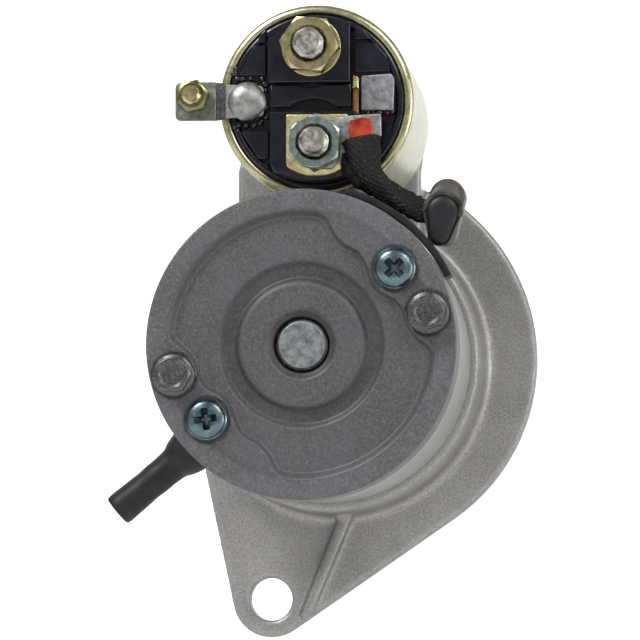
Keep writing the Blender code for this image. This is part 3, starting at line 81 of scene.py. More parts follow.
def arc(centre, radius, first, last, steps):
    return [polar(radius, first + (last - first) * i / steps, centre) for i in range(steps + 1)]


def circle(radius, sides=64, centre=(0.0, 0.0)):
    return arc(centre, radius, 0.0, 360.0, sides)[:-1]


def hexagon(across_flats, turn=0.0):
    return [polar(across_flats / sqrt(3), turn + 60 * i) for i in range(6)]


def step(value, low, high):
    """0 below low, 1 above high and smooth between them, for numbers or arrays."""
    t = np.clip((value - low) / (high - low), 0.0, 1.0)
    return t * t * (3 - 2 * t)


def rounded(corners, closed=True, steps=5):
    """The corners (x, y, cut) of an outline, each rounded over the length cut to both sides."""
    points, count = [], len(corners)
    for index, corner in enumerate(corners):
        here = Vector(corner[:2])
        cut = corner[2] if len(corner) > 2 else 0.0
        if not cut or (not closed and index in (0, count - 1)):
            points.append(tuple(here))
            continue
        before = Vector(corners[index - 1][:2]) - here
        after = Vector(corners[(index + 1) % count][:2]) - here
        start = here + before.normalized() * min(cut, before.length / 2)
        end = here + after.normalized() * min(cut, after.length / 2)
        for i in range(steps + 1):
            t = i / steps
            points.append(tuple(start * (1 - t) ** 2 + here * 2 * t * (1 - t) + end * t * t))
    return points


def spline(points, per_span):
    """Points along a smooth curve through the given ones."""
    nodes = [Vector(p) for p in points]
    nodes = [2 * nodes[0] - nodes[1]] + nodes + [2 * nodes[-1] - nodes[-2]]
    made = []
    for a, b, c, d in zip(nodes, nodes[1:], nodes[2:], nodes[3:]):
        for i in range(per_span):
            t = i / per_span
            made.append(0.5 * (2 * b + (c - a) * t + (2 * a - 5 * b + 4 * c - d) * t ** 2
                + (3 * b - 3 * c + d - a) * t ** 3))
    return made + [nodes[-2]]


# ---------------------------------------------------------------- materials

class Look:
    """A material whose colour, roughness and bump come from procedural nodes."""

    def __init__(self, name, metallic, **constants):
        self.material = bpy.data.materials.new(name)
        self.material.use_nodes = True
        self.tree = self.material.node_tree
        self.shader = self.tree.nodes["Principled BSDF"]
        self.shader.inputs["Metallic"].default_value = metallic
        for socket, value in constants.items():
            self.shader.inputs[socket.replace("_", " ")].default_value = value
        self.where = self.tree.nodes.new("ShaderNodeTexCoord").outputs["Object"]
        self.normal = None

    def node(self, kind, **settings):
        made = self.tree.nodes.new("ShaderNode" + kind)
        for name, value in settings.items():
            setattr(made, name, value)
        return made

    def link(self, source, target):
        self.tree.links.new(source, target)

    def noise(self, size, detail=3.0, rough=0.5, stretch=None, distortion=0.0):
        """Noise whose blotches measure about size millimetres."""
        made = self.node("TexNoise")
        made.inputs["Scale"].default_value = 0.6 / (size * MM)
        made.inputs["Detail"].default_value = detail
        made.inputs["Roughness"].default_value = rough
        made.inputs["Distortion"].default_value = distortion
        where = self.where
        if stretch:
            mapping = self.node("Mapping")
            mapping.inputs["Scale"].default_value = stretch
            self.link(where, mapping.inputs["Vector"])
            where = mapping.outputs["Vector"]
        self.link(where, made.inputs["Vector"])
        return made.outputs["Fac"]

    def distance_from_axis(self, full):
        """0 on the shaft's axis and 1 at full millimetres from it."""
        mapping = self.node("Mapping")
        mapping.inputs["Scale"].default_value = (1 / (full * MM), 0.0, 1 / (full * MM))
        self.link(self.where, mapping.inputs["Vector"])
        length = self.node("VectorMath", operation="LENGTH")
        self.link(mapping.outputs["Vector"], length.inputs[0])
        return length.outputs["Value"]

    def cells(self, size):
        """Distance to the middle of the nearest cell, about size millimetres across."""
        made = self.node("TexVoronoi", feature="F1")
        made.inputs["Scale"].default_value = 1.0 / (size * MM)
        self.link(self.where, made.inputs["Vector"])
        return made.outputs["Distance"]

    def ramp(self, source, *stops):
        """Stops are (position, colour) or (position, number)."""
        made = self.node("ValToRGB")
        elements = made.color_ramp.elements
        while len(elements) < len(stops):
            elements.new(0.5)
        for element, (position, value) in zip(elements, stops):
            element.position = position
            grey = isinstance(value, (int, float))
            element.color = (value, value, value, 1.0) if grey else (*value, 1.0)
        self.link(source, made.inputs["Fac"])
        return made.outputs["Color"]

    def mix(self, share, first, second, blend="MIX"):
        made = self.node("Mix", data_type="RGBA", blend_type=blend)
        for socket, value in (("Factor_Float", share), ("A_Color", first), ("B_Color", second)):
            target = next(s for s in made.inputs if s.identifier == socket)
            if isinstance(value, bpy.types.NodeSocket):
                self.link(value, target)
            else:
                target.default_value = (*value, 1.0) if isinstance(value, tuple) else value
        return next(s for s in made.outputs if s.identifier == "Result_Color")

    def bump(self, height, distance):
        """Adds a bump of that height in millimetres."""
        made = self.node("Bump")
        made.inputs["Distance"].default_value = distance * MM
        made.inputs["Strength"].default_value = 1.0
        self.link(height, made.inputs["Height"])
        if self.normal:
            self.link(self.normal, made.inputs["Normal"])
        self.normal = made.outputs["Normal"]
        self.link(self.normal, self.shader.inputs["Normal"])

    def colour(self, source):
        self.link(source, self.shader.inputs["Base Color"])

    def rough(self, source, low, high):
        self.link(self.ramp(source, (0.3, low), (0.7, high)), self.shader.inputs["Roughness"])


def cast_look(name, dark, mean, light, metallic, rough, grain=0.035, tint=None, rings=()):
    """A blasted casting: fine grains over slow changes of shade.

    Rings are (radius, shade) stops about the shaft's axis that multiply the colour: painted shade
    in the shaft hole's mouth, in a groove and over a sunk floor.
    """
    look = Look(name, metallic)
    slow = look.noise(9.0, 3.0, 0.6)
    grains = look.noise(0.34, 3.0, 0.65)
    base = look.ramp(grains, (0.30, dark), (0.52, mean), (0.74, light))
    if tint:
        base = look.mix(look.ramp(slow, (0.45, 0.0), (0.75, 0.55)), base, tint)
    shade = look.ramp(slow, (0.25, 0.86), (0.75, 1.1))
    base = look.mix(1.0, base, shade, "MULTIPLY")
    # Painted shade: darker colour at set distances from the shaft's axis.
    if rings:
        full = 50.0
        stops = [(radius / full, value) for radius, value in rings]
        base = look.mix(1.0, base, look.ramp(look.distance_from_axis(full), *stops), "MULTIPLY")
    look.colour(base)
    look.rough(grains, *rough)
    look.bump(look.noise(0.8, 4.0, 0.65), grain * 2.0)
    look.bump(look.noise(0.26, 2.0, 0.6), grain)
    return look.material


def plated_look(name, first, second, third, rough=(0.2, 0.42), metallic=1.0, grain=0.01):
    """Zinc plating: the passivation changes its colour slowly, and the surface is finely rough."""
    look = Look(name, metallic)
    slow = look.noise(4.0, 3.0, 0.6, distortion=0.8)
    colours = look.ramp(slow, (0.32, first), (0.5, second), (0.68, third))
    fine = look.noise(0.35, 4.0, 0.7)
    look.colour(look.mix(1.0, colours, look.ramp(fine, (0.3, 0.78), (0.7, 1.12)), "MULTIPLY"))
    look.rough(look.noise(1.2, 4.0, 0.65), *rough)
    look.bump(fine, grain * 2)
    return look.material


def turned_steel():
    """Machined steel, with lines left by the tool across Y."""
    look, tone = Look("steel", 1.0), (0.52, 0.52, 0.51)
    lines = look.noise(0.25, 3.0, 0.6, stretch=(0.15, 2.2, 0.15))
    worn = look.noise(5.0, 4.0, 0.6)
    dark = tuple(channel * 0.55 for channel in tone)
    look.colour(look.mix(look.ramp(worn, (0.35, 0.55), (0.7, 1.0)), dark, tone))
    look.rough(lines, 0.2, 0.4)
    look.bump(lines, 0.012)
    return look.material


def moulded_look(name, dark, light, rough, grain, coat=0.0):
    """Plastic, rubber or lacquer, with slow blotches and a fine grain."""
    look = Look(name, 0.0, Coat_Weight=coat, Coat_Roughness=0.12, Specular_IOR_Level=0.3)
    blotches = look.ramp(look.noise(3.0, 4.0, 0.6), (0.4, 0.0), (0.75, 1.0))
    look.colour(look.mix(blotches, dark, light))
    look.rough(look.noise(1.1, 4.0, 0.65), *rough)
    look.bump(look.noise(0.7, 3.0, 0.6), grain)
    return look.material


def braid_look():
    """A woven sleeve of black yarn, with lighter yarns showing here and there."""
    look = Look("braid", 0.0, Specular_IOR_Level=0.2)
    flecks = look.noise(0.55, 2.0, 0.8)
    yarn = look.ramp(flecks, (0.45, (0.004, 0.004, 0.0045)), (0.62, (0.010, 0.010, 0.0105)),
        (0.74, (0.07, 0.07, 0.066)))
    look.colour(yarn)
    look.rough(flecks, 0.55, 0.85)
    look.bump(look.cells(0.55), 0.16)
    look.bump(flecks, 0.08)
    return look.material


def copper_look(name, tone):
    """Copper or bronze, browned in patches."""
    look = Look(name, 1.0)
    patches = look.noise(2.5, 4.0, 0.65)
    brown = tuple(channel * 0.45 for channel in tone)
    look.colour(look.mix(look.ramp(patches, (0.4, 0.0), (0.65, 1.0)), brown, tone))
    look.rough(patches, 0.25, 0.5)
    look.bump(look.noise(0.6, 3.0, 0.6), 0.02)
    return look.material


def mottled_metal(name, dark, light, rough=(0.25, 0.5), grain=0.03):
    """Tinned or soldered metal, mottled light and dark."""
    look = Look(name, 1.0)
    patches = look.noise(1.1, 5.0, 0.7)
    look.colour(look.ramp(patches, (0.33, dark), (0.62, light)))
    look.rough(patches, *rough)
    look.bump(look.noise(0.8, 4.0, 0.7), grain)
    return look.material


LOOKS = {
    "cast_aluminium": cast_look("cast_aluminium", (0.19, 0.184, 0.178), (0.275, 0.268, 0.26),
        (0.38, 0.372, 0.362), 0.6, (0.38, 0.52), 0.020),
    "dark_cast": cast_look("dark_cast", (0.052, 0.052, 0.055), (0.080, 0.079, 0.084),
        (0.135, 0.134, 0.140), 0.25, (0.42, 0.60), 0.022,
        tint=(0.088, 0.078, 0.090),
        # Painted shade: dark in the shaft hole's mouth and the groove, a little darker over the
        # sunk pocket, slightly lighter on the rim.
        rings=((6.9, 0.2), (9.0, 0.7), (10.0, 0.8), (15.4, 0.8), (17.2, 0.50),
            (20.4, 0.54), (22.2, 0.84), (32.6, 0.88), (34.4, 0.80),
            (35.6, 1.06))),
    "yoke_paint": cast_look("yoke_paint", (0.19, 0.195, 0.18), (0.25, 0.255, 0.235),
        (0.32, 0.325, 0.30), 0.5, (0.3, 0.5), 0.012),
    "steel": turned_steel(),
    "dark_bolt": cast_look("dark_bolt", (0.050, 0.048, 0.050), (0.095, 0.092, 0.096),
        (0.17, 0.166, 0.172), 0.8, (0.28, 0.45), 0.012),
    "blue_zinc": plated_look("blue_zinc", (0.055, 0.09, 0.105), (0.14, 0.19, 0.21),
        (0.10, 0.155, 0.15)),
    "yellow_zinc": plated_look("yellow_zinc", (0.36, 0.335, 0.15), (0.50, 0.455, 0.24),
        (0.48, 0.35, 0.25)),
    "black_moulding": moulded_look("black_moulding", (0.004, 0.0045, 0.007), (0.010, 0.0115, 0.018),
        (0.12, 0.30), 0.02, 0.15),
    "black_rubber": moulded_look("black_rubber", (0.006, 0.006, 0.007), (0.016, 0.016, 0.017),
        (0.40, 0.6), 0.03),
    "copper": copper_look("copper", (0.50, 0.24, 0.11)),
    "magnet_stone": moulded_look("magnet_stone", (0.045, 0.045, 0.05), (0.08, 0.08, 0.085),
        (0.6, 0.8), 0.04),
    "carbon": moulded_look("carbon", (0.02, 0.02, 0.021), (0.05, 0.05, 0.052), (0.4, 0.6), 0.03),
    "bronze": copper_look("bronze", (0.45, 0.30, 0.15)),
    "grey_plastic": moulded_look("grey_plastic", (0.10, 0.10, 0.095), (0.15, 0.15, 0.142),
        (0.4, 0.6), 0.02),
}
BRAID = braid_look()
TINNED = mottled_metal("tinned", (0.20, 0.215, 0.21), (0.42, 0.44, 0.43), (0.28, 0.48))
PAD_METAL = mottled_metal("pad_metal", (0.20, 0.20, 0.215), (0.34, 0.34, 0.355), (0.35, 0.55))
STUD_METAL = mottled_metal("stud_metal", (0.16, 0.15, 0.13), (0.50, 0.48, 0.43), (0.3, 0.5), 0.07)
SOLDER = mottled_metal("solder", (0.19, 0.19, 0.185), (0.34, 0.34, 0.33), (0.42, 0.55), 0.04)
TAB_METAL = mottled_metal("tab_metal", (0.13, 0.135, 0.11), (0.27, 0.275, 0.235), (0.3, 0.5))
NUT_METAL = plated_look("nut_metal", (0.16, 0.22, 0.20), (0.33, 0.38, 0.36), (0.24, 0.34, 0.28),
    (0.2, 0.38), grain=0.03)
BOOT_RUBBER = moulded_look("boot_rubber", (0.034, 0.031, 0.026), (0.062, 0.058, 0.048),
    (0.35, 0.55), 0.03)
OLIVE_ZINC = plated_look("olive_zinc", (0.13, 0.12, 0.045), (0.24, 0.22, 0.10), (0.18, 0.17, 0.09))
YARN_ENDS = moulded_look("yarn_ends", (0.012, 0.012, 0.011), (0.10, 0.095, 0.08), (0.6, 0.8), 0.05)
# Painted shade: the rear bush is near-black bronze so the gap round the shaft's end reads as shade.
BUSH_BRONZE_PAINTED_SHADE = copper_look("bush_bronze_painted_shade", (0.05, 0.035, 0.02))
BOOT_FACE = moulded_look("boot_face", (0.007, 0.007, 0.009), (0.014, 0.014, 0.018), (0.38, 0.5),
    0.01)
WELD = moulded_look("weld_red", (0.13, 0.005, 0.003), (0.56, 0.065, 0.02), (0.10, 0.26), 0.14, 0.5)
BRASS = plated_look("brass_strip", (0.62, 0.55, 0.24), (0.82, 0.76, 0.42), (0.58, 0.46, 0.24))
SHAFT_END = mottled_metal("shaft_end", (0.145, 0.157, 0.16), (0.27, 0.287, 0.29), (0.4, 0.6), 0.03)
VARNISH = moulded_look("varnish", (0.04, 0.002, 0.004), (0.12, 0.006, 0.010), (0.06, 0.2), 0.05,
    0.6)
SEALANT = moulded_look("sealant", (0.003, 0.003, 0.004), (0.008, 0.008, 0.010), (0.05, 0.18), 0.10,
    0.8)
CHROMATE = plated_look("chromate", (0.33, 0.34, 0.20), (0.46, 0.445, 0.27), (0.46, 0.38, 0.29),
    (0.22, 0.38))
CHROMATE_SIDE = plated_look("chromate_side", (0.42, 0.45, 0.33), (0.52, 0.54, 0.41),
    (0.52, 0.50, 0.38), (0.30, 0.45), 0.8)


# ---------------------------------------------------------------- mesh helpers

def linked(name, data):
    """A new object in the scene."""
    obj = bpy.data.objects.new(name, data)
    bpy.context.scene.collection.objects.link(obj)
    return obj


def meshed(name, work, look):
    """Ends a bmesh and makes it a smooth object."""
    mesh = bpy.data.meshes.new(name)
    work.to_mesh(mesh)
    work.free()
    mesh.shade_smooth()
    mesh.materials.append(look)
    return linked(name, mesh)


def add_mesh(name, verts, faces, look, at=(0.0, 0.0), angle=32.0, turn=None):
    """A mesh object from millimetre points, with its normals out and its sharp edges marked."""
    mesh = bpy.data.meshes.new(name)
    mesh.from_pydata([tuple(v) for v in verts], [], faces)
    work = bmesh.new()
    work.from_mesh(mesh)
    if turn is not None:
        bmesh.ops.transform(work, matrix=turn, verts=work.verts)
    bmesh.ops.translate(work, vec=(at[0], 0.0, at[1]), verts=work.verts)
    bmesh.ops.scale(work, vec=(MM, MM, MM), verts=work.verts)
    bmesh.ops.recalc_face_normals(work, faces=work.faces)
    work.to_mesh(mesh)
    work.free()
    mesh.shade_smooth()
    mesh.set_sharp_from_angle(angle=radians(angle))
    mesh.materials.append(look)
    return linked(name, mesh)


def loft(rings, closed=False):
    """Verts and faces of rings of points joined one to the next; a ring of one point is a tip."""
    verts, faces, starts = [], [], []
    for ring in rings:
        starts.append(len(verts))
        verts += ring
    pairs = list(zip(range(len(rings)), range(1, len(rings))))
    if closed:
        pairs.append((len(rings) - 1, 0))
    for a, b in pairs:
        first, second = starts[a], starts[b]
        many = max(len(rings[a]), len(rings[b]))
        for i in range(many):
            j = (i + 1) % many
            if len(rings[a]) == 1:
                faces.append((first, second + i, second + j))
            elif len(rings[b]) == 1:
                faces.append((first + i, first + j, second))
            else:
                faces.append((first + i, first + j, second + j, second + i))
    return verts, faces


def lathe(name, corners, look, at=(0.0, 0.0), sides=96, warp=None, turn=None):
    """Turns corners (radius, y, cut) about a line along Y, and warps each point if asked."""
    tips = corners[0][0] == 0 and corners[-1][0] == 0
    profile = rounded(corners, closed=not tips)
    rings = []
    for radius, y in profile:
        if radius < 1e-6:
            rings.append([(0.0, y, 0.0)])
            continue
        ring = [(radius * cos(2 * pi * i / sides), y, radius * sin(2 * pi * i / sides))
            for i in range(sides)]
        rings.append([warp(p) for p in ring] if warp else ring)
    verts, faces = loft(rings, closed=not tips)
    return add_mesh(name, verts, faces, look, at, turn=turn)


def tube_corners(inner, outer, y0, y1, cut=0.3):
    return [(inner, y0, cut), (outer, y0, cut), (outer, y1, cut), (inner, y1, cut)]


def applied(obj):
    """The object with its modifiers applied and no object left behind."""
    bpy.context.view_layer.update()
    mesh = bpy.data.meshes.new_from_object(obj.evaluated_get(
        bpy.context.evaluated_depsgraph_get()))
    old = obj.data
    obj.modifiers.clear()
    obj.data = mesh
    if old.users == 0:
        bpy.data.meshes.remove(old)
    return obj


def plate(name, outline, y0, y1, look, holes=(), at=(0.0, 0.0), bevel=0.25):
    """A flat plate across Y with rounded edges; outline and holes are points (x, z)."""
    curve = bpy.data.curves.new(name, "CURVE")
    curve.dimensions = "2D"
    curve.fill_mode = "BOTH"
    curve.bevel_depth = bevel * MM
    curve.offset = -bevel * MM
    curve.bevel_resolution = 2
    curve.extrude = max((y1 - y0) / 2 - bevel, 0.0) * MM
    for points in (outline, *holes):
        made = curve.splines.new("POLY")
        made.points.add(len(points) - 1)
        for target, point in zip(made.points, points):
            target.co = (point[0] * MM, point[1] * MM, 0.0, 1.0)
        made.use_cyclic_u = True
    helper = linked(name, curve)
    bpy.context.view_layer.update()
    mesh = bpy.data.meshes.new_from_object(helper.evaluated_get(
        bpy.context.evaluated_depsgraph_get()))
    bpy.data.objects.remove(helper)
    bpy.data.curves.remove(curve)
    mesh.transform(Matrix.Translation((at[0] * MM, (y0 + y1) / 2 * MM, at[1] * MM))
        @ Matrix.Rotation(pi / 2, 4, "X"))
    work = bmesh.new()
    work.from_mesh(mesh)
    bmesh.ops.remove_doubles(work, verts=work.verts, dist=1e-7)
    bmesh.ops.recalc_face_normals(work, faces=work.faces)
    work.to_mesh(mesh)
    work.free()
    mesh.shade_smooth()
    mesh.set_sharp_from_angle(angle=radians(40))
    mesh.materials.clear()
    mesh.materials.append(look)
    return linked(name, mesh)


def cut(obj, cutter, operation="DIFFERENCE"):
    """Applies a Boolean and removes the cutter."""
    modifier = obj.modifiers.new("cut", "BOOLEAN")
    modifier.operation = operation
    modifier.object = cutter
    modifier.solver = "EXACT"
    applied(obj)
    bpy.data.objects.remove(cutter)
    obj.data.shade_smooth()
    obj.data.set_sharp_from_angle(angle=radians(32))
    return obj


def place(obj, node, body="housing"):
    """Rides the piece on its body; it stands for the node."""
    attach(obj, body)
    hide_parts(node)


def trim(obj):
    """Rides a piece that stands for no node of its own on the housing."""
    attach(obj, "housing")


def soften(obj, width, angle):
    """Rounds the edges sharper than angle."""
    bevel = obj.modifiers.new("soften", "BEVEL")
    bevel.width = width * MM
    bevel.segments = 2
    bevel.angle_limit = radians(angle)
    bevel.harden_normals = True


def hexagonal(obj, axis, across, turn, y0, y1, look):
    """Cuts a turned head or nut to a hexagon."""
    outline = [(x + axis[0], z + axis[1]) for x, z in hexagon(across, turn)]
    cut(obj, plate("hex", outline, y0, y1, look, bevel=0.0), "INTERSECT")


# ---------------------------------------------------------------- rear cover

COVER = Span("rear_cover")
POCKET_R = 34.9
PAD_EDGE = [(4.4, 34.6), (7.3, 32.6), (8.5, 29.3), (10.9, 26.3), (15.1, 23.6), (17.3, 20.2),
    (18.6, 16.4), (21.0, 13.4), (24.4, 11.6), (26.7, 8.8), (28.1, 4.7), (30.4, 1.5),
    (33.7, -0.5), (34.8, -3.0)]


def pocket_outline():
    """Edge of the sunk floor: two arcs, joined by the S-shaped edges of the pads."""
    edge = [tuple(p)[:2] for p in spline([(x, z, 0) for x, z in PAD_EDGE], 5)]
    half = edge + arc((0, 0), POCKET_R, -8.0, -94.0, 40)
    return np.array(half + [(-x, -z) for x, z in half])


def inside_distance(x, z, outline):
    """How far inside the outline each point lies, in millimetres; negative outside."""
    nearest = np.full(x.shape, 1e9)
    inside = np.zeros(x.shape, bool)
    for (ax, az), (bx, bz) in zip(outline, np.roll(outline, -1, axis=0)):
        dx, dz = bx - ax, bz - az
        share = np.clip(((x - ax) * dx + (z - az) * dz) / (dx * dx + dz * dz), 0, 1)
        nearest = np.minimum(nearest, np.hypot(x - ax - share * dx, z - az - share * dz))
        if az != bz:
            crosses = (az > z) != (bz > z)
            inside ^= crosses & (x < (bx - ax) * (z - az) / (bz - az) + ax)
    return np.where(inside, nearest, -nearest)


def cover_depth(x, z):
    """Depth of the cover's rear face below its rim."""
    radius = np.hypot(x, z)
    inner = inside_distance(x, z, pocket_outline())
    wall = 1.25 + 1.2 * step(radius, 30.0, 34.0)
    depth = 2.2 * step(inner / wall, 0.0, 1.0)
    groove = step(radius, 15.9, 17.5) * (1 - step(radius, 20.0, 21.9))
    depth += 1.25 * groove
    depth -= 0.35 * (1 - step(radius, 15.0, 16.4))
    depth += 1.3 * (1 - step(radius, 7.5, 9.5)) ** 1.3
    for circle_r, angle, seat in ((30.9, 38.5, 6.0), (33.6, 13.5, 5.9)):
        for side in (0.0, 180.0):
            sx, sz = polar(circle_r, angle + side)
            depth += 0.35 * (1 - step(np.hypot(x - sx, z - sz), seat - 0.3, seat + 0.3))
    return depth


def make_cover():
    rear, front, edge = COVER.rear, COVER.front, COVER.radius
    flat_r = edge - 1.1
    hole = 7.3
    sides = 480
    radii = np.linspace(flat_r, hole, 140)
    angles = np.arange(sides) * 2 * pi / sides
    grid_r, grid_a = np.meshgrid(radii, angles, indexing="ij")
    x, z = grid_r * np.cos(grid_a), grid_r * np.sin(grid_a)
    y = rear + 0.02 + cover_depth(x, z)
    rings = [list(zip(x[i], y[i], z[i])) for i in range(len(radii))]
    bush = 9.65
    outside = rounded([(hole, rear + 3.1), (hole, rear + 4.8), (bush, rear + 4.8),
        (bush, rear + 9.5), (bush + 3.0, rear + 9.5, 0.5),
        (bush + 3.0, rear + 4.5), (edge - 3.6, rear + 4.5, 1.0),
        (edge - 3.6, front), (edge, front, 0.3), (edge, rear, 1.1),
        (flat_r, rear + 0.02)], closed=False, steps=6)[1:-1]
    rings += [[(r * cos(a), y_at, r * sin(a)) for a in angles] for r, y_at in outside]
    verts, faces = loft(rings, closed=True)
    cover = add_mesh("rear_cover_casting", verts, faces, LOOKS["dark_cast"], angle=38)
    place(cover, "rear_cover")


def phillips_cutter(at, rear, turn):
    """A tapered cross."""
    arms = []
    for quarter in range(4):
        angle = turn + 90 * quarter
        for radius, offset in ((1.25, -45), (3.0, -17), (3.0, 17)):
            arms.append(polar(radius, angle + offset))
    rings = [[(at[0] + x * share, rear + y, at[1] + z * share) for x, z in arms]
        for y, share in ((-0.6, 1.12), (0.9, 0.86), (2.1, 0.42))]
    verts, faces = loft(rings)
    many = len(arms)
    faces += [tuple(range(many))[::-1], tuple(range(2 * many, 3 * many))]
    return add_mesh("cross", verts, faces, LOOKS["blue_zinc"])


def make_cover_screws():
    for word, turn in (("right", 45.0), ("left", 8.0)):
        node = Span(f"brush_screw_{word}")
        rear = node.rear
        screw = lathe(f"brush_screw_{word}_head", [
            (0.0, rear), (2.6, rear + 0.02, 0.5), (4.5, rear + 0.55, 0.8), (5.05, rear + 1.5, 0.3),
            (5.4, rear + 1.75, 0.2), (5.4, rear + 2.4, 0.2), (1.9, rear + 2.4),
            (1.9, node.front - 0.8), (1.3, node.front), (0.0, node.front)],
            LOOKS["blue_zinc"], node.axis, 72)
        cut(screw, phillips_cutter(node.axis, rear, turn))
        place(screw, f"brush_screw_{word}")


def make_through_bolts():
    for word, turn in (("right", 22.0), ("left", 4.0)):
        node = Span(f"through_bolt_{word}")
        rear, seat = node.rear, COVER.rear - 0.3
        shank = 2.2
        head = lathe(f"through_bolt_{word}_head", [
            (0.0, rear + 0.55), (2.9, rear + 0.55, 0.3), (3.3, rear + 0.05, 0.3), (4.1, rear, 0.3),
            (5.05, rear + 0.8, 0.2), (5.05, seat - 1.1), (5.05, seat - 0.9), (0.0, seat - 0.9)],
            LOOKS["dark_bolt"], node.axis, 96)
        hexagonal(head, node.axis, 8.6, turn, rear - 1, seat, LOOKS["dark_bolt"])
        body = lathe(f"through_bolt_{word}_body", [
            (0.0, seat - 1.3), (4.3, seat - 1.3, 0.2), (5.2, seat - 0.95, 0.3),
            (5.55, seat - 0.5, 0.2), (5.55, seat, 0.2), (shank, seat), (shank, node.front - 1),
            (shank - 0.8, node.front), (0.0, node.front)], LOOKS["dark_bolt"], node.axis, 72)
        place(head, f"through_bolt_{word}")
        trim(body)


def make_shaft_end():
    node, commutator = Span("armature_shaft"), Span("commutator")
    rear = node.rear
    shaft = lathe("armature_shaft_turned", [
        (0.0, rear + 0.05), (2.2, rear, 0.5), (5.9, rear, 0.2), (6.7, rear + 0.8, 0.2),
        (6.8, commutator.rear - 1.0), (6.0, commutator.rear - 1.0), (6.0, -34.5, 0.2),
        (3.9, -34.5), (3.9, node.front - 0.6, 0.2), (3.3, node.front), (0.0, node.front)],
        SHAFT_END, (0.0, 0.0), 96)
    place(shaft, "armature_shaft", "armature")


# ---------------------------------------------------------------- yoke and drain tube

YOKE_R = 38.95


def make_yoke():
    node = Span("yoke")
    inner = node.radius - 2.6
    yoke = lathe("yoke_tube", [
        (inner, node.rear, 0.3), (node.radius - 0.05, node.rear, 0.5),
        (node.radius, node.rear + 3.0, 0.8), (node.radius, node.front - 3.0, 0.8),
        (node.radius - 0.05, node.front, 0.5), (inner, node.front, 0.3)],
        LOOKS["yoke_paint"], sides=160)
    place(yoke, "yoke")


def make_drain_tube():
    """A rubber outlet on the yoke's lower left, with a flared foot and an open end."""
    angle = 219.5
    middle = Vector((0.0, -84.0, 0.0))
    along = Vector((cos(radians(angle)), 0.0, sin(radians(angle))))
    tilt = Vector((0, 1, 0)).rotation_difference(along).to_matrix().to_4x4()
    turn = Matrix.Translation(middle) @ tilt
    foot, end = YOKE_R, 66.1
    tube = lathe("drain_tube_rubber", [
        (0.0, foot + 1.0), (5.2, foot + 0.2), (6.15, foot, 0.3), (6.2, foot + 2.2, 1.2),
        (5.5, foot + 5.6, 1.2),
        (4.35, foot + 7.4, 1.0), (4.2, foot + 12.0, 3.0), (4.05, foot + 17.5, 3.0),
        (4.3, end - 1.4, 0.8), (4.15, end, 0.5), (2.9, end, 0.35), (2.6, end - 2.0, 0.5),
        (2.6, foot + 8.0), (0.0, foot + 8.0)], LOOKS["black_rubber"], sides=96, turn=turn,
        warp=drain_warp)
    place(tube, "drain_tube")


def drain_warp(point):
    """Moulding waves, and a foot that follows the yoke's curve."""
    x, y, z = point
    if y < YOKE_R + 3.0 and hypot(x, z) > 1.0:
        saddle = YOKE_R - sqrt(max(YOKE_R ** 2 - z * z, 0.0))
        y = max(y - saddle, y - 0.6)
    swell = 1.0 + 0.012 * sin(y * 1.1)
    return x * swell, y, z * swell


# ---------------------------------------------------------------- front housing

def fillet_ring(name, lip, inner, y0, y1, reach):
    """A ring with a hollow corner, to be merged into a casting."""
    corners = [(inner, y0), (lip, y0), (lip + 0.4, y0 + (y1 - y0) * 0.55),
        (lip + 1.4, y0 + (y1 - y0) * 0.85), (lip + 4.2, y1), (inner, y1)]

    def warp(point):
        x, y, z = point
        radius = hypot(x, z)
        share = reach(atan2(z, x) * 180 / pi)
        if radius > lip:
            new = lip + (radius - lip) * share
            x, z = x * new / radius, z * new / radius
        return x, y, z

    return lathe(name, corners, LOOKS["cast_aluminium"], sides=120, warp=warp)


def make_front_housing():
    """The CAD casting with its corners filled, made one surface and softened as a casting is."""
    source = frame["nodes"]["front_housing"]
    body = linked("front_housing_casting", source.data.copy())
    work = bmesh.new()
    work.from_mesh(body.data)
    bmesh.ops.remove_doubles(work, verts=work.verts, dist=2e-6)
    ring = fillet_ring("corner", 41.2, 38.0, -13.0, -7.5,
        lambda a: 1.0 if -112 < a < 55 else 0.25)
    work.from_mesh(ring.data)
    bpy.data.objects.remove(ring)
    work.to_mesh(body.data)
    work.free()
    remesh = body.modifiers.new("one", "REMESH")
    remesh.mode = "VOXEL"
    remesh.voxel_size = 0.00075
    remesh.use_smooth_shade = True
    smooth = body.modifiers.new("smooth", "SMOOTH")
    smooth.factor = 0.5
    smooth.iterations = 5
    applied(body)
    body.data.materials.clear()
    body.data.materials.append(LOOKS["cast_aluminium"])
    place(body, "front_housing")


# ---------------------------------------------------------------- solenoid

CASE = Span("solenoid_case")
CAP = Span("solenoid_cap")
AXIS = CASE.axis
FLOOR = CASE.rear - 0.2     # the cap's floor, seen between its blocks
STUD_HOLE_R = 4.3
THREAD_PITCH = 1.25


def near(x, z):
    """A point given from the solenoid's axis."""
    return AXIS[0] + x, AXIS[1] + z


def make_solenoid_case():
    rear, front = CASE.rear, CASE.front
    ring, case = 25.6, 25.2
    shell = lathe("solenoid_case_shell", [
        (23.25, rear + 1.3), (23.2, rear + 0.35, 0.3), (23.7, rear, 0.4), (24.5, rear + 0.05, 0.5),
        (25.5, rear + 0.75, 0.6), (ring, rear + 2.0, 0.6), (ring, rear + 4.0, 0.3),
        (25.0, rear + 4.6, 0.3), (case, rear + 5.4, 0.3), (case, front - 0.8, 0.6),
        (24.4, front, 0.4), (9.3, front, 0.2), (9.3, front - 4.0), (23.6, front - 4.0, 0.6),
        (23.6, rear + 1.3)], CHROMATE, AXIS, 200)
    shell.data.materials.append(CHROMATE_SIDE)
    for polygon in shell.data.polygons:
        if polygon.center.y > (rear + 4.3) * MM:
            polygon.material_index = 1
    place(shell, "solenoid_case")


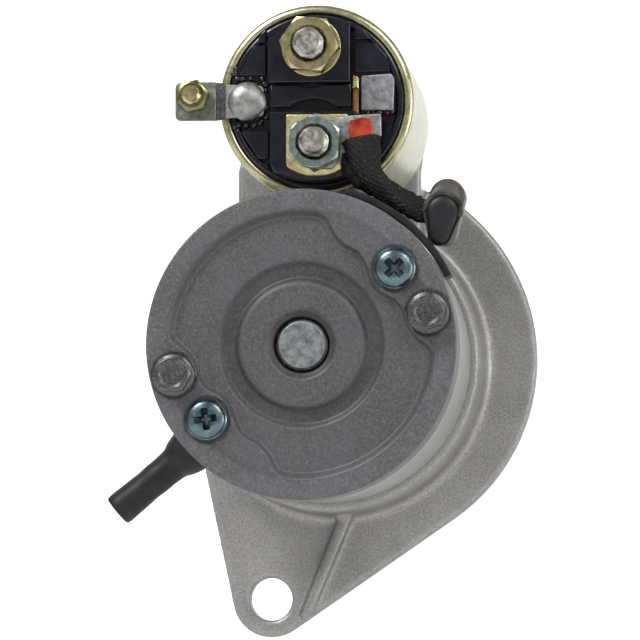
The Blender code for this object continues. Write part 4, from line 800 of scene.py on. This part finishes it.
def make_solenoid_cap():
    """The moulded switch cap: a floor with raised blocks, pads and a bar between the studs."""
    floor, top, black = FLOOR, CAP.rear, LOOKS["black_moulding"]
    base = lathe("solenoid_cap_floor", [
        (0.0, floor + 1.2), (21.0, floor + 1.2, 0.2), (21.5, floor + 0.1, 0.2), (22.3, floor, 0.3),
        (22.9, floor + 0.3, 0.2), (22.9, CASE.rear + 1.6), (23.3, CASE.rear + 1.6),
        (23.3, CASE.rear + 16.0, 0.4), (20.5, CASE.rear + 16.0, 0.4), (20.5, floor + 4.0),
        (0.0, floor + 4.0)], black, AXIS, 160)
    place(base, "solenoid_cap")
    upper = rounded([(-12.4, 4.6, 0.6), (9.2, 4.6, 0.6)] + [(9.2, 20.6, 1.0)]
        + arc((0, 0), 22.2, 66.0, 121.0, 10) + [(-12.4, 17.0, 3.0)])
    trim(plate("cap_upper_block", upper, top, floor + 2, black, at=AXIS, bevel=0.45,
        holes=[circle(STUD_HOLE_R, 40, (-0.8, 13.8))]))
    lower = rounded([(-11.8, -2.9, 0.5), (-11.8, -16.6, 3.2)] + arc((0, 0), 21.6, 240.0, 303.0, 10)
        + [(10.8, -2.9, 0.5)])
    trim(plate("cap_lower_block", lower, top, floor + 2, black, at=AXIS, bevel=0.5,
        holes=[circle(STUD_HOLE_R, 40, (0.7, -12.0))]))
    bar = [(-11.8, 4.2), (-4.6, 4.2)] + arc((-1.2, 12.2), 8.7, 247.0, 293.0, 8) + [
        (2.2, 4.2), (9.4, 4.2), (9.4, -1.6), (5.6, -1.6)]
    bar += arc((-0.6, -9.6), 10.1, 52.0, 128.0, 10) + [(-6.8, -1.6), (-11.8, -1.6)]
    trim(plate("cap_bar", bar, top + 1.6, floor + 2, black, at=AXIS, bevel=0.35))
    pads = {
        "left_high": [(-20.4, 6.9), (-13.1, 6.9), (-13.1, 14.9), (-16.4, 14.9)],
        "left_top": [(-15.6, 15.6), (-13.1, 15.6), (-13.1, 19.2), (-14.6, 18.0)],
        "left_low": [(-19.9, -7.7), (-12.4, -7.5), (-12.4, -14.9), (-15.0, -15.2)],
        "right_high": [(10.0, 7.6), (19.6, 7.6), (18.6, 11.8), (15.5, 15.2), (10.0, 15.6)],
        "right_top": [(10.0, 16.2), (14.6, 16.2), (12.6, 18.6), (10.0, 19.9)],
        "left_foot": [(-14.4, -16.2), (-12.4, -16.0), (-12.4, -17.9)],
    }
    for word, outline in pads.items():
        trim(plate(f"cap_pad_{word}", rounded([(x, z, 0.5) for x, z in outline]),
            floor - 0.5, floor + 2, black, at=AXIS, bevel=0.3))


def make_terminal_trim():
    """Contact strap, its end plate and the varnish that seals it, right of the bar."""
    trim(plate("strap_edge", rounded([(9.8, -3.6, 0.2), (11.3, -3.6, 0.2), (11.3, 3.0, 0.1),
        (9.8, 3.0, 0.1)]),
        FLOOR - 2.3, FLOOR + 2, LOOKS["copper"], at=AXIS, bevel=0.25))
    trim(plate("strap_end", rounded([(9.8, 3.05, 0.1), (11.4, 3.05, 0.1), (11.3, 6.2, 0.4),
        (9.8, 6.6, 0.4)]),
        FLOOR - 2.45, FLOOR + 2, BRASS, at=AXIS, bevel=0.3))
    trim(plate("strap_plate", rounded([(12.0, -2.7, 0.4), (20.4, -2.7, 0.4), (20.7, 5.6, 0.8),
        (19.9, 7.0, 0.6), (12.0, 6.5, 0.4)]),
        FLOOR - 1.7, FLOOR + 2, PAD_METAL, at=AXIS, bevel=0.3))
    blobs = [(13.4, -2.9, 0.8), (14.9, -3.1, 0.6), (16.6, -3.0, 0.9), (18.6, -3.2, 0.7),
        (20.0, -2.9, 0.6)]
    beads("varnish_beads", [(x, FLOOR - 0.6, z, r) for x, z, r in blobs], VARNISH)
    corners = [(-21.6, 7.6, 0.9), (-21.2, 8.8, 0.6), (-20.8, 6.2, 0.7), (-14.2, 6.1, 0.7),
        (-13.4, 4.6, 0.8), (-13.2, 2.9, 0.6), (-13.1, -1.5, 0.6), (-13.2, -3.9, 0.7),
        (-14.6, -5.4, 0.8), (-16.4, -6.1, 0.8), (-18.4, -6.0, 0.9), (-20.2, -5.9, 0.8),
        (-21.4, -6.6, 0.6), (-17.2, 6.2, 0.6), (-19.4, 6.1, 0.7), (-20.6, -7.4, 0.5)]
    beads("sealant_beads", [(x, FLOOR - 0.1, z, r) for x, z, r in corners], SEALANT)


def beads(name, rows, look):
    """Drops of sealant, each a flattened and slightly uneven ball, in one mesh."""
    work = bmesh.new()
    for x, y, z, radius in rows:
        made = bmesh.ops.create_icosphere(work, subdivisions=3, radius=radius * MM)
        for vert in made["verts"]:
            wobble = 1.0 + 0.22 * noise.noise(vert.co * 900 + Vector((x, y, z)))
            vert.co *= wobble
            vert.co.y *= 0.75
        centre = near(x, z)
        bmesh.ops.translate(work, vec=(centre[0] * MM, y * MM, centre[1] * MM), verts=made["verts"])
    return trim(meshed(name, work, look))


def threaded_rod(name, node, radius, pitch, rear, front, look):
    """A stud with a real helical thread from rear to front, and a plain shank after it."""
    sides, per_pitch = 48, 8
    depth = 0.62 * pitch
    rows = int((front - rear) / pitch * per_pitch)
    chamfer = radius * 0.14
    mouth = radius - depth - chamfer * 0.6
    rings = [[(0.0, rear, 0.0)], [polar3(mouth, 360 * i / sides, rear) for i in range(sides)]]
    for row in range(rows + 1):
        y = rear + 0.15 + (front - rear - 0.15) * row / rows
        ring = []
        for i in range(sides):
            phase = (y / pitch - i / sides) % 1.0
            tooth = abs(2 * phase - 1)
            crest = radius - depth * (1 - min(1.0, 1.25 * tooth))
            limit = radius - depth * 0.8 - chamfer + (y - rear)
            ring.append(polar3(min(crest, limit), 360 * i / sides, y))
        rings.append(ring)
    for r, y in ((radius, front + 0.3), (radius, node.front), (0.0, node.front)):
        rings.append([(0.0, y, 0.0)] if r == 0 else
            [polar3(r, 360 * i / sides, y) for i in range(sides)])
    verts, faces = loft(rings)
    return add_mesh(name, verts, faces, look, node.axis, 40)


def polar3(radius, angle, y):
    x, z = polar(radius, angle)
    return x, y, z


def hex_nut(name, node, across, turn, look):
    """A nut with both ends chamfered, a countersunk mouth and rounded edges."""
    rear, front = node.rear, node.front
    outer = across / sqrt(3)
    nut = lathe(name, [
        (STUD_HOLE_R, rear + 0.7, 0.1), (STUD_HOLE_R + 0.55, rear, 0.15),
        (across / 2 * 1.03, rear, 0.2), (outer + 0.05, rear + 0.55), (outer + 0.05, front - 0.4),
        (across / 2 * 1.03, front, 0.2),
        (STUD_HOLE_R, front)], look, node.axis, 144)
    hexagonal(nut, node.axis, across, turn, rear - 1, front + 1, look)
    soften(nut, 0.12, 35)
    return applied(nut)


def make_studs_and_nuts():
    for word in ("battery", "motor"):
        node = Span(f"{word}_stud")
        place(threaded_rod(f"{word}_stud_thread", node, 3.95, THREAD_PITCH, node.rear,
            CAP.rear - 0.4, STUD_METAL), f"{word}_stud")
    battery = Span("battery_nut")
    place(hex_nut("battery_nut_hex", battery, 13.6, -6.0, LOOKS["yellow_zinc"]), "battery_nut")
    motor = Span("motor_nut")
    place(hex_nut("motor_nut_hex", motor, 12.9, 27.0, NUT_METAL), "motor_nut")
    washer = Span("battery_washer")
    ring = tube_corners(STUD_HOLE_R, washer.radius, washer.rear, washer.front, 0.35)
    place(lathe("battery_washer_round", ring, LOOKS["yellow_zinc"], washer.axis, 96),
        "battery_washer")
    square = Span("motor_washer")
    half = square.radius
    outline = rounded([(-half, half, 0.6), (-half, -half + 2.4, 1.5), (-3.5, -half, 2.5),
        (3.2, -half, 2.5), (half, -half + 2.6, 1.5), (half, half, 0.6)])
    place(plate("motor_washer_plate", outline, square.rear, square.front, BRASS, at=square.axis,
        holes=[circle(STUD_HOLE_R, 48)], bevel=0.3), "motor_washer")


def make_lug():
    """The lead's lug: a tinned strap bent up a little, with the braid welded on its end."""
    node, stud = Span("motor_lug"), Span("motor_stud")
    outline = rounded([(-5.6, -4.4, 2.0), (-3.0, -6.2, 1.5), (4.3, -6.6, 1.2), (8.6, -0.6, 1.0),
        (17.0, 1.9, 0.5), (16.9, 7.9, 0.6), (9.0, 7.5, 1.0), (3.8, 6.6, 1.0),
        (-3.4, 6.2, 1.5), (-5.6, 4.0, 2.0)])
    lug = plate("motor_lug_strap", outline, node.rear, node.front, TINNED, at=stud.axis,
        holes=[circle(STUD_HOLE_R, 48)], bevel=0.3)
    place(lug, "motor_lug")
    work = bmesh.new()
    bmesh.ops.create_cube(work, size=1.0)
    bmesh.ops.subdivide_edges(work, edges=work.edges[:], cuts=5, use_grid_fill=True)
    for vert in work.verts:
        ball = vert.co.normalized() * 0.62
        vert.co = vert.co.lerp(ball, 0.38)
        vert.co.x *= 5.9 * MM
        vert.co.z *= 6.0 * MM
        vert.co.y *= 2.0 * MM
        rough = [noise.noise(vert.co * 700 + Vector((i * 9, 0, 0))) for i in range(3)]
        vert.co += Vector(rough) * 0.0003
    centre = near(12.5, -8.4)
    bmesh.ops.translate(work, vec=(centre[0] * MM, (node.rear - 0.5) * MM, centre[1] * MM),
        verts=work.verts)
    obj = meshed("weld_block", work, WELD)
    smooth = obj.modifiers.new("soft", "SUBSURF")
    smooth.levels = smooth.render_levels = 2
    trim(applied(obj))


def make_switch_terminal():
    """The small terminal: a tinned tab that steps up at the case's edge, a rivet, screw and nut."""
    node, screw = Span("switch_terminal"), Span("switch_screw")
    rear, front = node.rear, node.front
    left, bend = node.low.x - AXIS[0], -25.9
    hole = (screw.axis[0] - AXIS[0], screw.axis[1] - AXIS[1])
    tab = rounded([(left, 5.1, 1.6), (left, -5.1, 1.6), (bend - 0.2, -5.1, 0.2),
        (bend - 0.2, 5.1, 0.2)])
    strap = plate("switch_tab", tab, rear, rear + 0.9, TAB_METAL, at=AXIS, bevel=0.22,
        holes=[circle(2.6, 32, hole)])
    place(strap, "switch_terminal")
    # The step up is real; its near-black bolt steel is painted shade for the dark band where the
    # tab bends.
    trim(plate("switch_bend_painted_shade", rounded([(bend - 1.0, -5.1, 0.3), (bend + 2.2, -4.7, 0.3),
        (bend + 2.2, 4.7, 0.3), (bend - 1.0, 5.1, 0.3)]),
        rear + 0.15, front + 0.9, LOOKS["dark_bolt"], at=AXIS, bevel=0.3))
    trim(plate("switch_strip", rounded([(bend + 1.8, -4.5, 0.3), (-13.6, -4.0, 1.0),
        (-13.6, 4.0, 1.0), (bend + 1.8, 4.5, 0.3)]),
        rear + 0.6, front + 0.9, SOLDER, at=AXIS, bevel=0.25))
    dome = lathe("switch_rivet", [(0.0, rear - 1.6), (2.4, rear - 1.35, 1.2),
        (4.4, rear - 0.3, 1.4), (5.2, rear + 0.9, 0.5),
        (4.9, FLOOR + 0.4), (0.0, FLOOR + 0.4)],
        SOLDER, near(-18.0, 0.0), 72, warp=lambda p: dented(p, 0.18))
    trim(dome)
    nut = lathe("switch_nut", [(0.0, rear - 3.7), (3.3, rear - 3.7, 0.25), (4.7, rear - 3.0),
        (4.7, rear - 0.35), (0.0, rear - 0.35)],
        OLIVE_ZINC, screw.axis, 72)
    hexagonal(nut, screw.axis, 7.6, 12.0, rear - 4.5, rear, OLIVE_ZINC)
    trim(nut)
    tip = threaded_rod("switch_screw_thread", screw, 2.4, 0.8, screw.rear, rear + 0.9,
        LOOKS["yellow_zinc"])
    place(tip, "switch_screw")


def dented(point, size):
    """Moves a point by slow noise, for hand-finished metal."""
    offset = noise.noise_vector(Vector(point) * 0.45) * size
    return point[0] + offset.x, point[1] + offset.y, point[2] + offset.z


# ---------------------------------------------------------------- lead and boot

LEAD_ROUTE = [(14.3, -98.2, 54.4), (14.9, -98.6, 51.2), (16.3, -98.9, 46.2), (19.4, -99.2, 41.9),
    (23.3, -99.5, 38.7), (26.6, -99.8, 36.7), (29.8, -100.0, 35.2), (33.4, -100.3, 34.4)]
FOLD_ROUTE = [(10.0, -97.3, 50.4), (11.4, -97.3, 46.4), (14.4, -97.4, 43.2), (18.6, -97.6, 41.0),
    (23.0, -97.8, 38.6), (27.4, -98.0, 35.8)]


def sweep(name, path, section, look, sides):
    """A tube along a path; section(share, turn) gives its radius across and along Y."""
    rings = []
    for index, here in enumerate(path):
        ahead = path[min(index + 1, len(path) - 1)] - path[max(index - 1, 0)]
        along = ahead.normalized()
        across = along.cross(Vector((0, 1, 0))).normalized()
        depth = across.cross(along).normalized()
        share = index / (len(path) - 1)
        ring = []
        for i in range(sides):
            turn = 2 * pi * i / sides
            wide, deep = section(share, turn)
            ring.append(tuple(here + across * wide * cos(turn) + depth * deep * sin(turn)))
        rings.append(ring)
    rings = [[tuple(path[0])]] + rings + [[tuple(path[-1])]]
    verts, faces = loft(rings)
    return add_mesh(name, verts, faces, look, angle=60.0)


def make_lead():
    """The braided sleeve between the lug's weld and the boot: wide and flat, then round."""
    path = spline(LEAD_ROUTE, 14)

    def section(share, turn):
        flare = 2.0 * (1 - step(share, 0.0, 0.42))
        crease = 0.15 * step(share, 0.5, 0.65) * sin(share * 62 + 2.4 * sin(turn + 1.0))
        crease += 0.12 * sin(share * 31 + 2.0 * sin(turn * 2 + share * 9))
        fold = 0.28 * sin(3 * turn + share * 11) * step(share, 0.05, 0.3)
        weave = 0.08 * sin(turn * 16 + share * 90) + 0.08 * sin(turn * 16 - share * 90)
        start = 0.80 + 0.20 * step(share, 0.0, 0.03)
        return ((3.05 + flare + crease + fold + weave) * start,
            (2.75 - 0.25 * flare + fold + weave) * start)

    place(sweep("motor_lead_braid", path, section, BRAID, 96), "motor_lead")

    def fold_section(share, turn):
        ends = 0.35 + 0.65 * step(share, 0.0, 0.2) * (1 - step(share, 0.85, 1.0))
        ripple = 0.16 * sin(share * 40 + 2.2 * sin(turn + 0.6)) + 0.05 * sin(turn * 24)
        return (2.3 + ripple) * ends, (1.9 + ripple) * ends

    trim(sweep("sleeve_fold", spline(FOLD_ROUTE, 14), fold_section, BRAID, 96))


def drop(top, top_r, heel, heel_r, steps=48):
    """A drop's outline: a large circle above a small one, with straight sides between them."""
    dx, dz = top[0] - heel[0], top[1] - heel[1]
    up = atan2(dz, dx) * 180 / pi
    lean = asin((top_r - heel_r) / hypot(dx, dz)) * 180 / pi
    half = 90 + lean
    return (arc(top, top_r, up - half, up + half, steps)
        + arc(heel, heel_r, up + half, up + 360 - half, steps // 2)[1:-1])


def boot_rim(inset):
    return drop((37.0, 38.6), 4.6 - inset, (36.1, 29.4), 3.3 - inset * 0.7)


def boot_mouth(inset, steps=48):
    return drop((35.9, 34.5), 4.6 - inset, (35.1, 28.7), 3.0 - inset * 0.66, steps)


def capped(name, rings, look):
    """Rings (outline, y) from front to rear, closed at both ends."""
    points = [[(x, y, z) for x, z in outline] for outline, y in rings]
    ends = []
    for ring, (outline, y) in ((points[0], rings[0]), (points[-1], rings[-1])):
        ends.append([(sum(p[0] for p in ring) / len(ring), y, sum(p[2] for p in ring) / len(ring))])
    verts, faces = loft([ends[0]] + points + [ends[1]])
    return add_mesh(name, verts, faces, look, angle=50)


def make_boot():
    """A rubber cap on the lead's end, a smooth tongue in its mouth and a black strip under it,
    which also stands as painted shade for the lead's shadow along the cover's edge.
    """
    node = Span("lead_boot")
    rear, front = node.rear, node.front
    shell = [(boot_rim(0.3), front), (boot_rim(0.0), front - 0.4), (boot_rim(0.0), rear + 3.6),
        (boot_rim(0.25), rear + 2.5), (boot_rim(0.55), rear + 1.9),
        (boot_mouth(-0.35), rear + 1.1), (boot_mouth(0.0), rear + 1.0),
        (boot_mouth(0.25), rear + 1.4), (boot_mouth(0.3), rear + 2.4)]
    place(capped("lead_boot_rubber", shell, BOOT_RUBBER), "lead_boot")
    tongue = [(boot_mouth(0.45), rear + 2.3), (boot_mouth(0.4), rear + 1.3),
        (boot_mouth(0.65), rear + 0.75), (boot_mouth(1.2), rear + 0.4),
        (boot_mouth(2.2), rear + 0.12), (boot_mouth(3.2), rear + 0.05)]
    trim(capped("boot_tongue", tongue, BOOT_FACE))
    # A black rubber strip that also serves as painted shadow under the lead along the cover's edge.
    strip = arc((0, 0), 42.3, 25.5, 75.0, 56) + arc((0, 0), 40.35, 75.0, 25.5, 56)
    trim(plate("boot_strip", strip, rear + 1.2, front - 1.0, LOOKS["black_rubber"], bevel=0.35))
    trim(frayed_edge(rear))


def frayed_edge(rear):
    """Ends of the sleeve's yarns, in a row round the boot's mouth."""
    work = bmesh.new()
    inner, outer = boot_mouth(0.35, 110), boot_mouth(-0.75, 110)
    for index in range(4, 104):
        (ax, az), (bx, bz) = inner[index], outer[index]
        reach = 0.75 + 0.3 * sin(index * 2.4)
        start = Vector((ax, rear + 0.95, az))
        end = Vector((ax + (bx - ax) * reach, rear + 0.6 - 0.15 * sin(index * 1.7),
            az + (bz - az) * reach))
        made = bmesh.ops.create_cone(work, cap_ends=True, segments=6, radius1=0.24, radius2=0.15,
            depth=(end - start).length)
        turn = (end - start).to_track_quat("Z", "Y").to_matrix().to_4x4()
        bmesh.ops.transform(work, matrix=Matrix.Translation((start + end) / 2) @ turn,
            verts=made["verts"])
    bmesh.ops.scale(work, vec=(MM, MM, MM), verts=work.verts)
    return meshed("frayed_yarns", work, YARN_ENDS)


# ---------------------------------------------------------------- drive and front pieces

def make_drive():
    clutch = Span("clutch")
    groove_rear, rear, front = clutch.rear + 1.2, clutch.rear, clutch.front
    place(lathe("clutch_body", [
        (6.15, rear), (13.0, rear, 0.3), (13.0, groove_rear, 0.3), (9.0, groove_rear, 0.2),
        (9.0, rear + 7.0, 0.2), (13.0, rear + 7.0, 0.3), (13.0, rear + 8.5, 0.3),
        (16.8, rear + 10.0, 0.8), (16.8, front - 3.4, 0.2), (16.5, front - 3.2, 0.1),
        (16.5, front - 2.6, 0.1), (16.8, front - 2.4, 0.2), (16.8, front - 1.0, 0.9),
        (15.4, front, 0.6), (6.15, front)], LOOKS["steel"], sides=128), "clutch", "drive")
    stop = Span("pinion_stop")
    place(lathe("pinion_stop_ring", [
        (6.3, stop.rear, 0.3), (9.0, stop.rear, 0.4), (9.0, stop.front - 0.9, 0.3),
        (8.2, stop.front, 0.4), (6.3, stop.front, 0.3)], LOOKS["steel"], sides=96),
        "pinion_stop", "carrier")
    bush = Span("nose_bush")
    place(lathe("nose_bush_ring", tube_corners(5.15, bush.radius, bush.rear, bush.front, 0.25),
        LOOKS["bronze"], sides=96), "nose_bush")


def make_plunger_spring():
    """The spring behind the plunger, with closed ends."""
    node = Span("plunger_spring")
    wire, mean, turns, steps, travel = 0.5, 4.4, 5, 24, 10.0
    length = node.front - node.rear
    path = []
    for i in range(turns * steps + 1):
        share = i / (turns * steps)
        x, z = polar(mean, 360 * turns * share, node.axis)
        y = node.rear + wire + (length - 2 * wire) * step(share, 0.08, 0.92)
        path.append(Vector((x, y, z)))
    spring = sweep("plunger_spring_wire", path, lambda share, turn: (wire, wire), LOOKS["steel"],
        12)
    place(spring, "plunger_spring")
    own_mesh(spring)


def make_solenoid_screws():
    """Two screws from the front hold the solenoid, with their heads before the column plate."""
    for word in ("left", "right"):
        node = Span(f"solenoid_screw_{word}")
        rear, front = node.rear, node.front
        head = front - 3.8
        screw = lathe(f"solenoid_screw_{word}_head", [
            (0.0, rear), (2.5, rear, 0.4), (2.5, head), (4.2, head, 0.2), (4.2, front - 1.3, 0.6),
            (3.1, front - 0.1, 0.4), (0.0, front)], LOOKS["steel"], node.axis, 72)
        verts, faces = loft([[(x * s + node.axis[0], y, z * s + node.axis[1])
            for x, z in hexagon(3.6, 15.0)]
            for y, s in ((front - 1.9, 0.92), (front + 1.0, 1.0))])
        faces += [tuple(range(6)), tuple(range(6, 12))[::-1]]
        cut(screw, add_mesh("socket", verts, faces, LOOKS["steel"]))
        place(screw, f"solenoid_screw_{word}")


def finish_cad_nodes():
    """Every node gets its slot's material, the rear bush a near-black bronze; the nodes still shown
    keep their shape, are shaded smooth, and a few get softened edges.
    """
    for name, obj in frame["nodes"].items():
        obj.data.materials.clear()
        # Painted shade: the rear bush gets the near-black bronze instead of its slot's material.
        obj.data.materials.append(BUSH_BRONZE_PAINTED_SHADE if name == "rear_bush" else LOOKS[SLOT_OF[name]])
        if obj.hide_render:
            continue
        obj.data.shade_smooth()
        obj.data.set_sharp_from_angle(angle=radians(30))
        if name in ("pinion", "shift_lever", "lever_pin", "lever_seal", "output_shaft"):
            soften(obj, 0.2, 30)


# ---------------------------------------------------------------- stage, light and camera

def stage_sheet(name, rows, half_width, glow):
    """A pale sheet of paper through the rows (y, z), which may shine a little as a lit backdrop."""
    verts = [(x, y, z) for y, z in rows for x in (-half_width, half_width)]
    faces = [(2 * i, 2 * i + 1, 2 * i + 3, 2 * i + 2) for i in range(len(rows) - 1)]
    mesh = bpy.data.meshes.new(name)
    mesh.from_pydata(verts, [], faces)
    mesh.shade_smooth()
    sheet = linked(name, mesh)
    look = Look(f"{name}_paper", 0.0, Emission_Strength=glow)
    paper = look.ramp(look.noise(400.0, 2.0), (0.3, 0.86), (0.7, 0.9))
    look.colour(paper)
    look.link(paper, look.shader.inputs["Emission Color"])
    look.rough(look.noise(50.0), 0.7, 0.8)
    sheet.data.materials.append(look.material)


def make_stage():
    """A floor, and behind it a backdrop that is lit by itself."""
    floor_z, front, back = -0.17, -4.0, 2.0
    stage_sheet("studio_floor", [(front, floor_z), (back, floor_z)], 4.0, 0.0)
    rise = [(back, 0.0), (back + 0.45, 0.06), (back + 0.8, 0.35), (back + 0.9, 0.9),
        (back + 0.9, 4.0)]
    rise = [tuple(p)[:2] for p in spline([Vector((y, floor_z + z, 0)) for y, z in rise], 4)]
    stage_sheet("studio_backdrop", rise, 4.0, 0.85)


def add_light(name, place_at, size, power):
    """A soft light aimed at the motor's middle."""
    light = bpy.data.lights.new(name, "AREA")
    light.shape = "RECTANGLE"
    light.size, light.size_y = size
    light.energy = power
    obj = linked(name, light)
    obj.location = place_at
    aim = Vector((0, -0.05, 0)) - Vector(place_at)
    obj.rotation_euler = aim.to_track_quat("-Z", "Y").to_euler()


def make_light():
    world = bpy.data.worlds.new("studio")
    bpy.context.scene.world = world
    world.use_nodes = True
    world.node_tree.nodes["Background"].inputs["Color"].default_value = (1.0, 1.0, 1.0, 1.0)
    world.node_tree.nodes["Background"].inputs["Strength"].default_value = 0.36
    add_light("key", (-0.7, -0.85, 1.05), (0.5, 0.5), 21.0)
    add_light("upper_right", (0.75, -1.0, 0.85), (0.6, 0.6), 9.0)
    add_light("right", (1.15, -0.4, -0.1), (0.4, 0.9), 8.0)
    bpy.context.scene.view_settings.view_transform = "Standard"


def make_camera():
    """A long lens, a little right of the shaft's line and a little below it."""
    azimuth, elevation = radians(5.35), radians(-3.67)
    back = Vector((sin(azimuth) * cos(elevation), -cos(azimuth) * cos(elevation), sin(elevation)))
    target = Vector((5.0, COVER.rear, 6.1)) * MM
    camera = bpy.data.cameras.new("camera")
    camera.lens = 252.9
    camera.sensor_width = 36.0
    camera.clip_start, camera.clip_end = 0.05, 50.0
    obj = linked("camera", camera)
    obj.location = target + back * 1.150
    obj.rotation_euler = (-back).to_track_quat("-Z", "Y").to_euler()
    bpy.context.scene.camera = obj


for make in (make_camera, make_stage, make_light, make_cover, make_cover_screws,
        make_through_bolts, make_shaft_end, make_yoke, make_drain_tube, make_front_housing,
        make_solenoid_case, make_solenoid_cap, make_terminal_trim, make_studs_and_nuts,
        make_lug, make_switch_terminal, make_lead, make_boot, make_drive,
        make_solenoid_screws, make_plunger_spring, finish_cad_nodes):
    make()
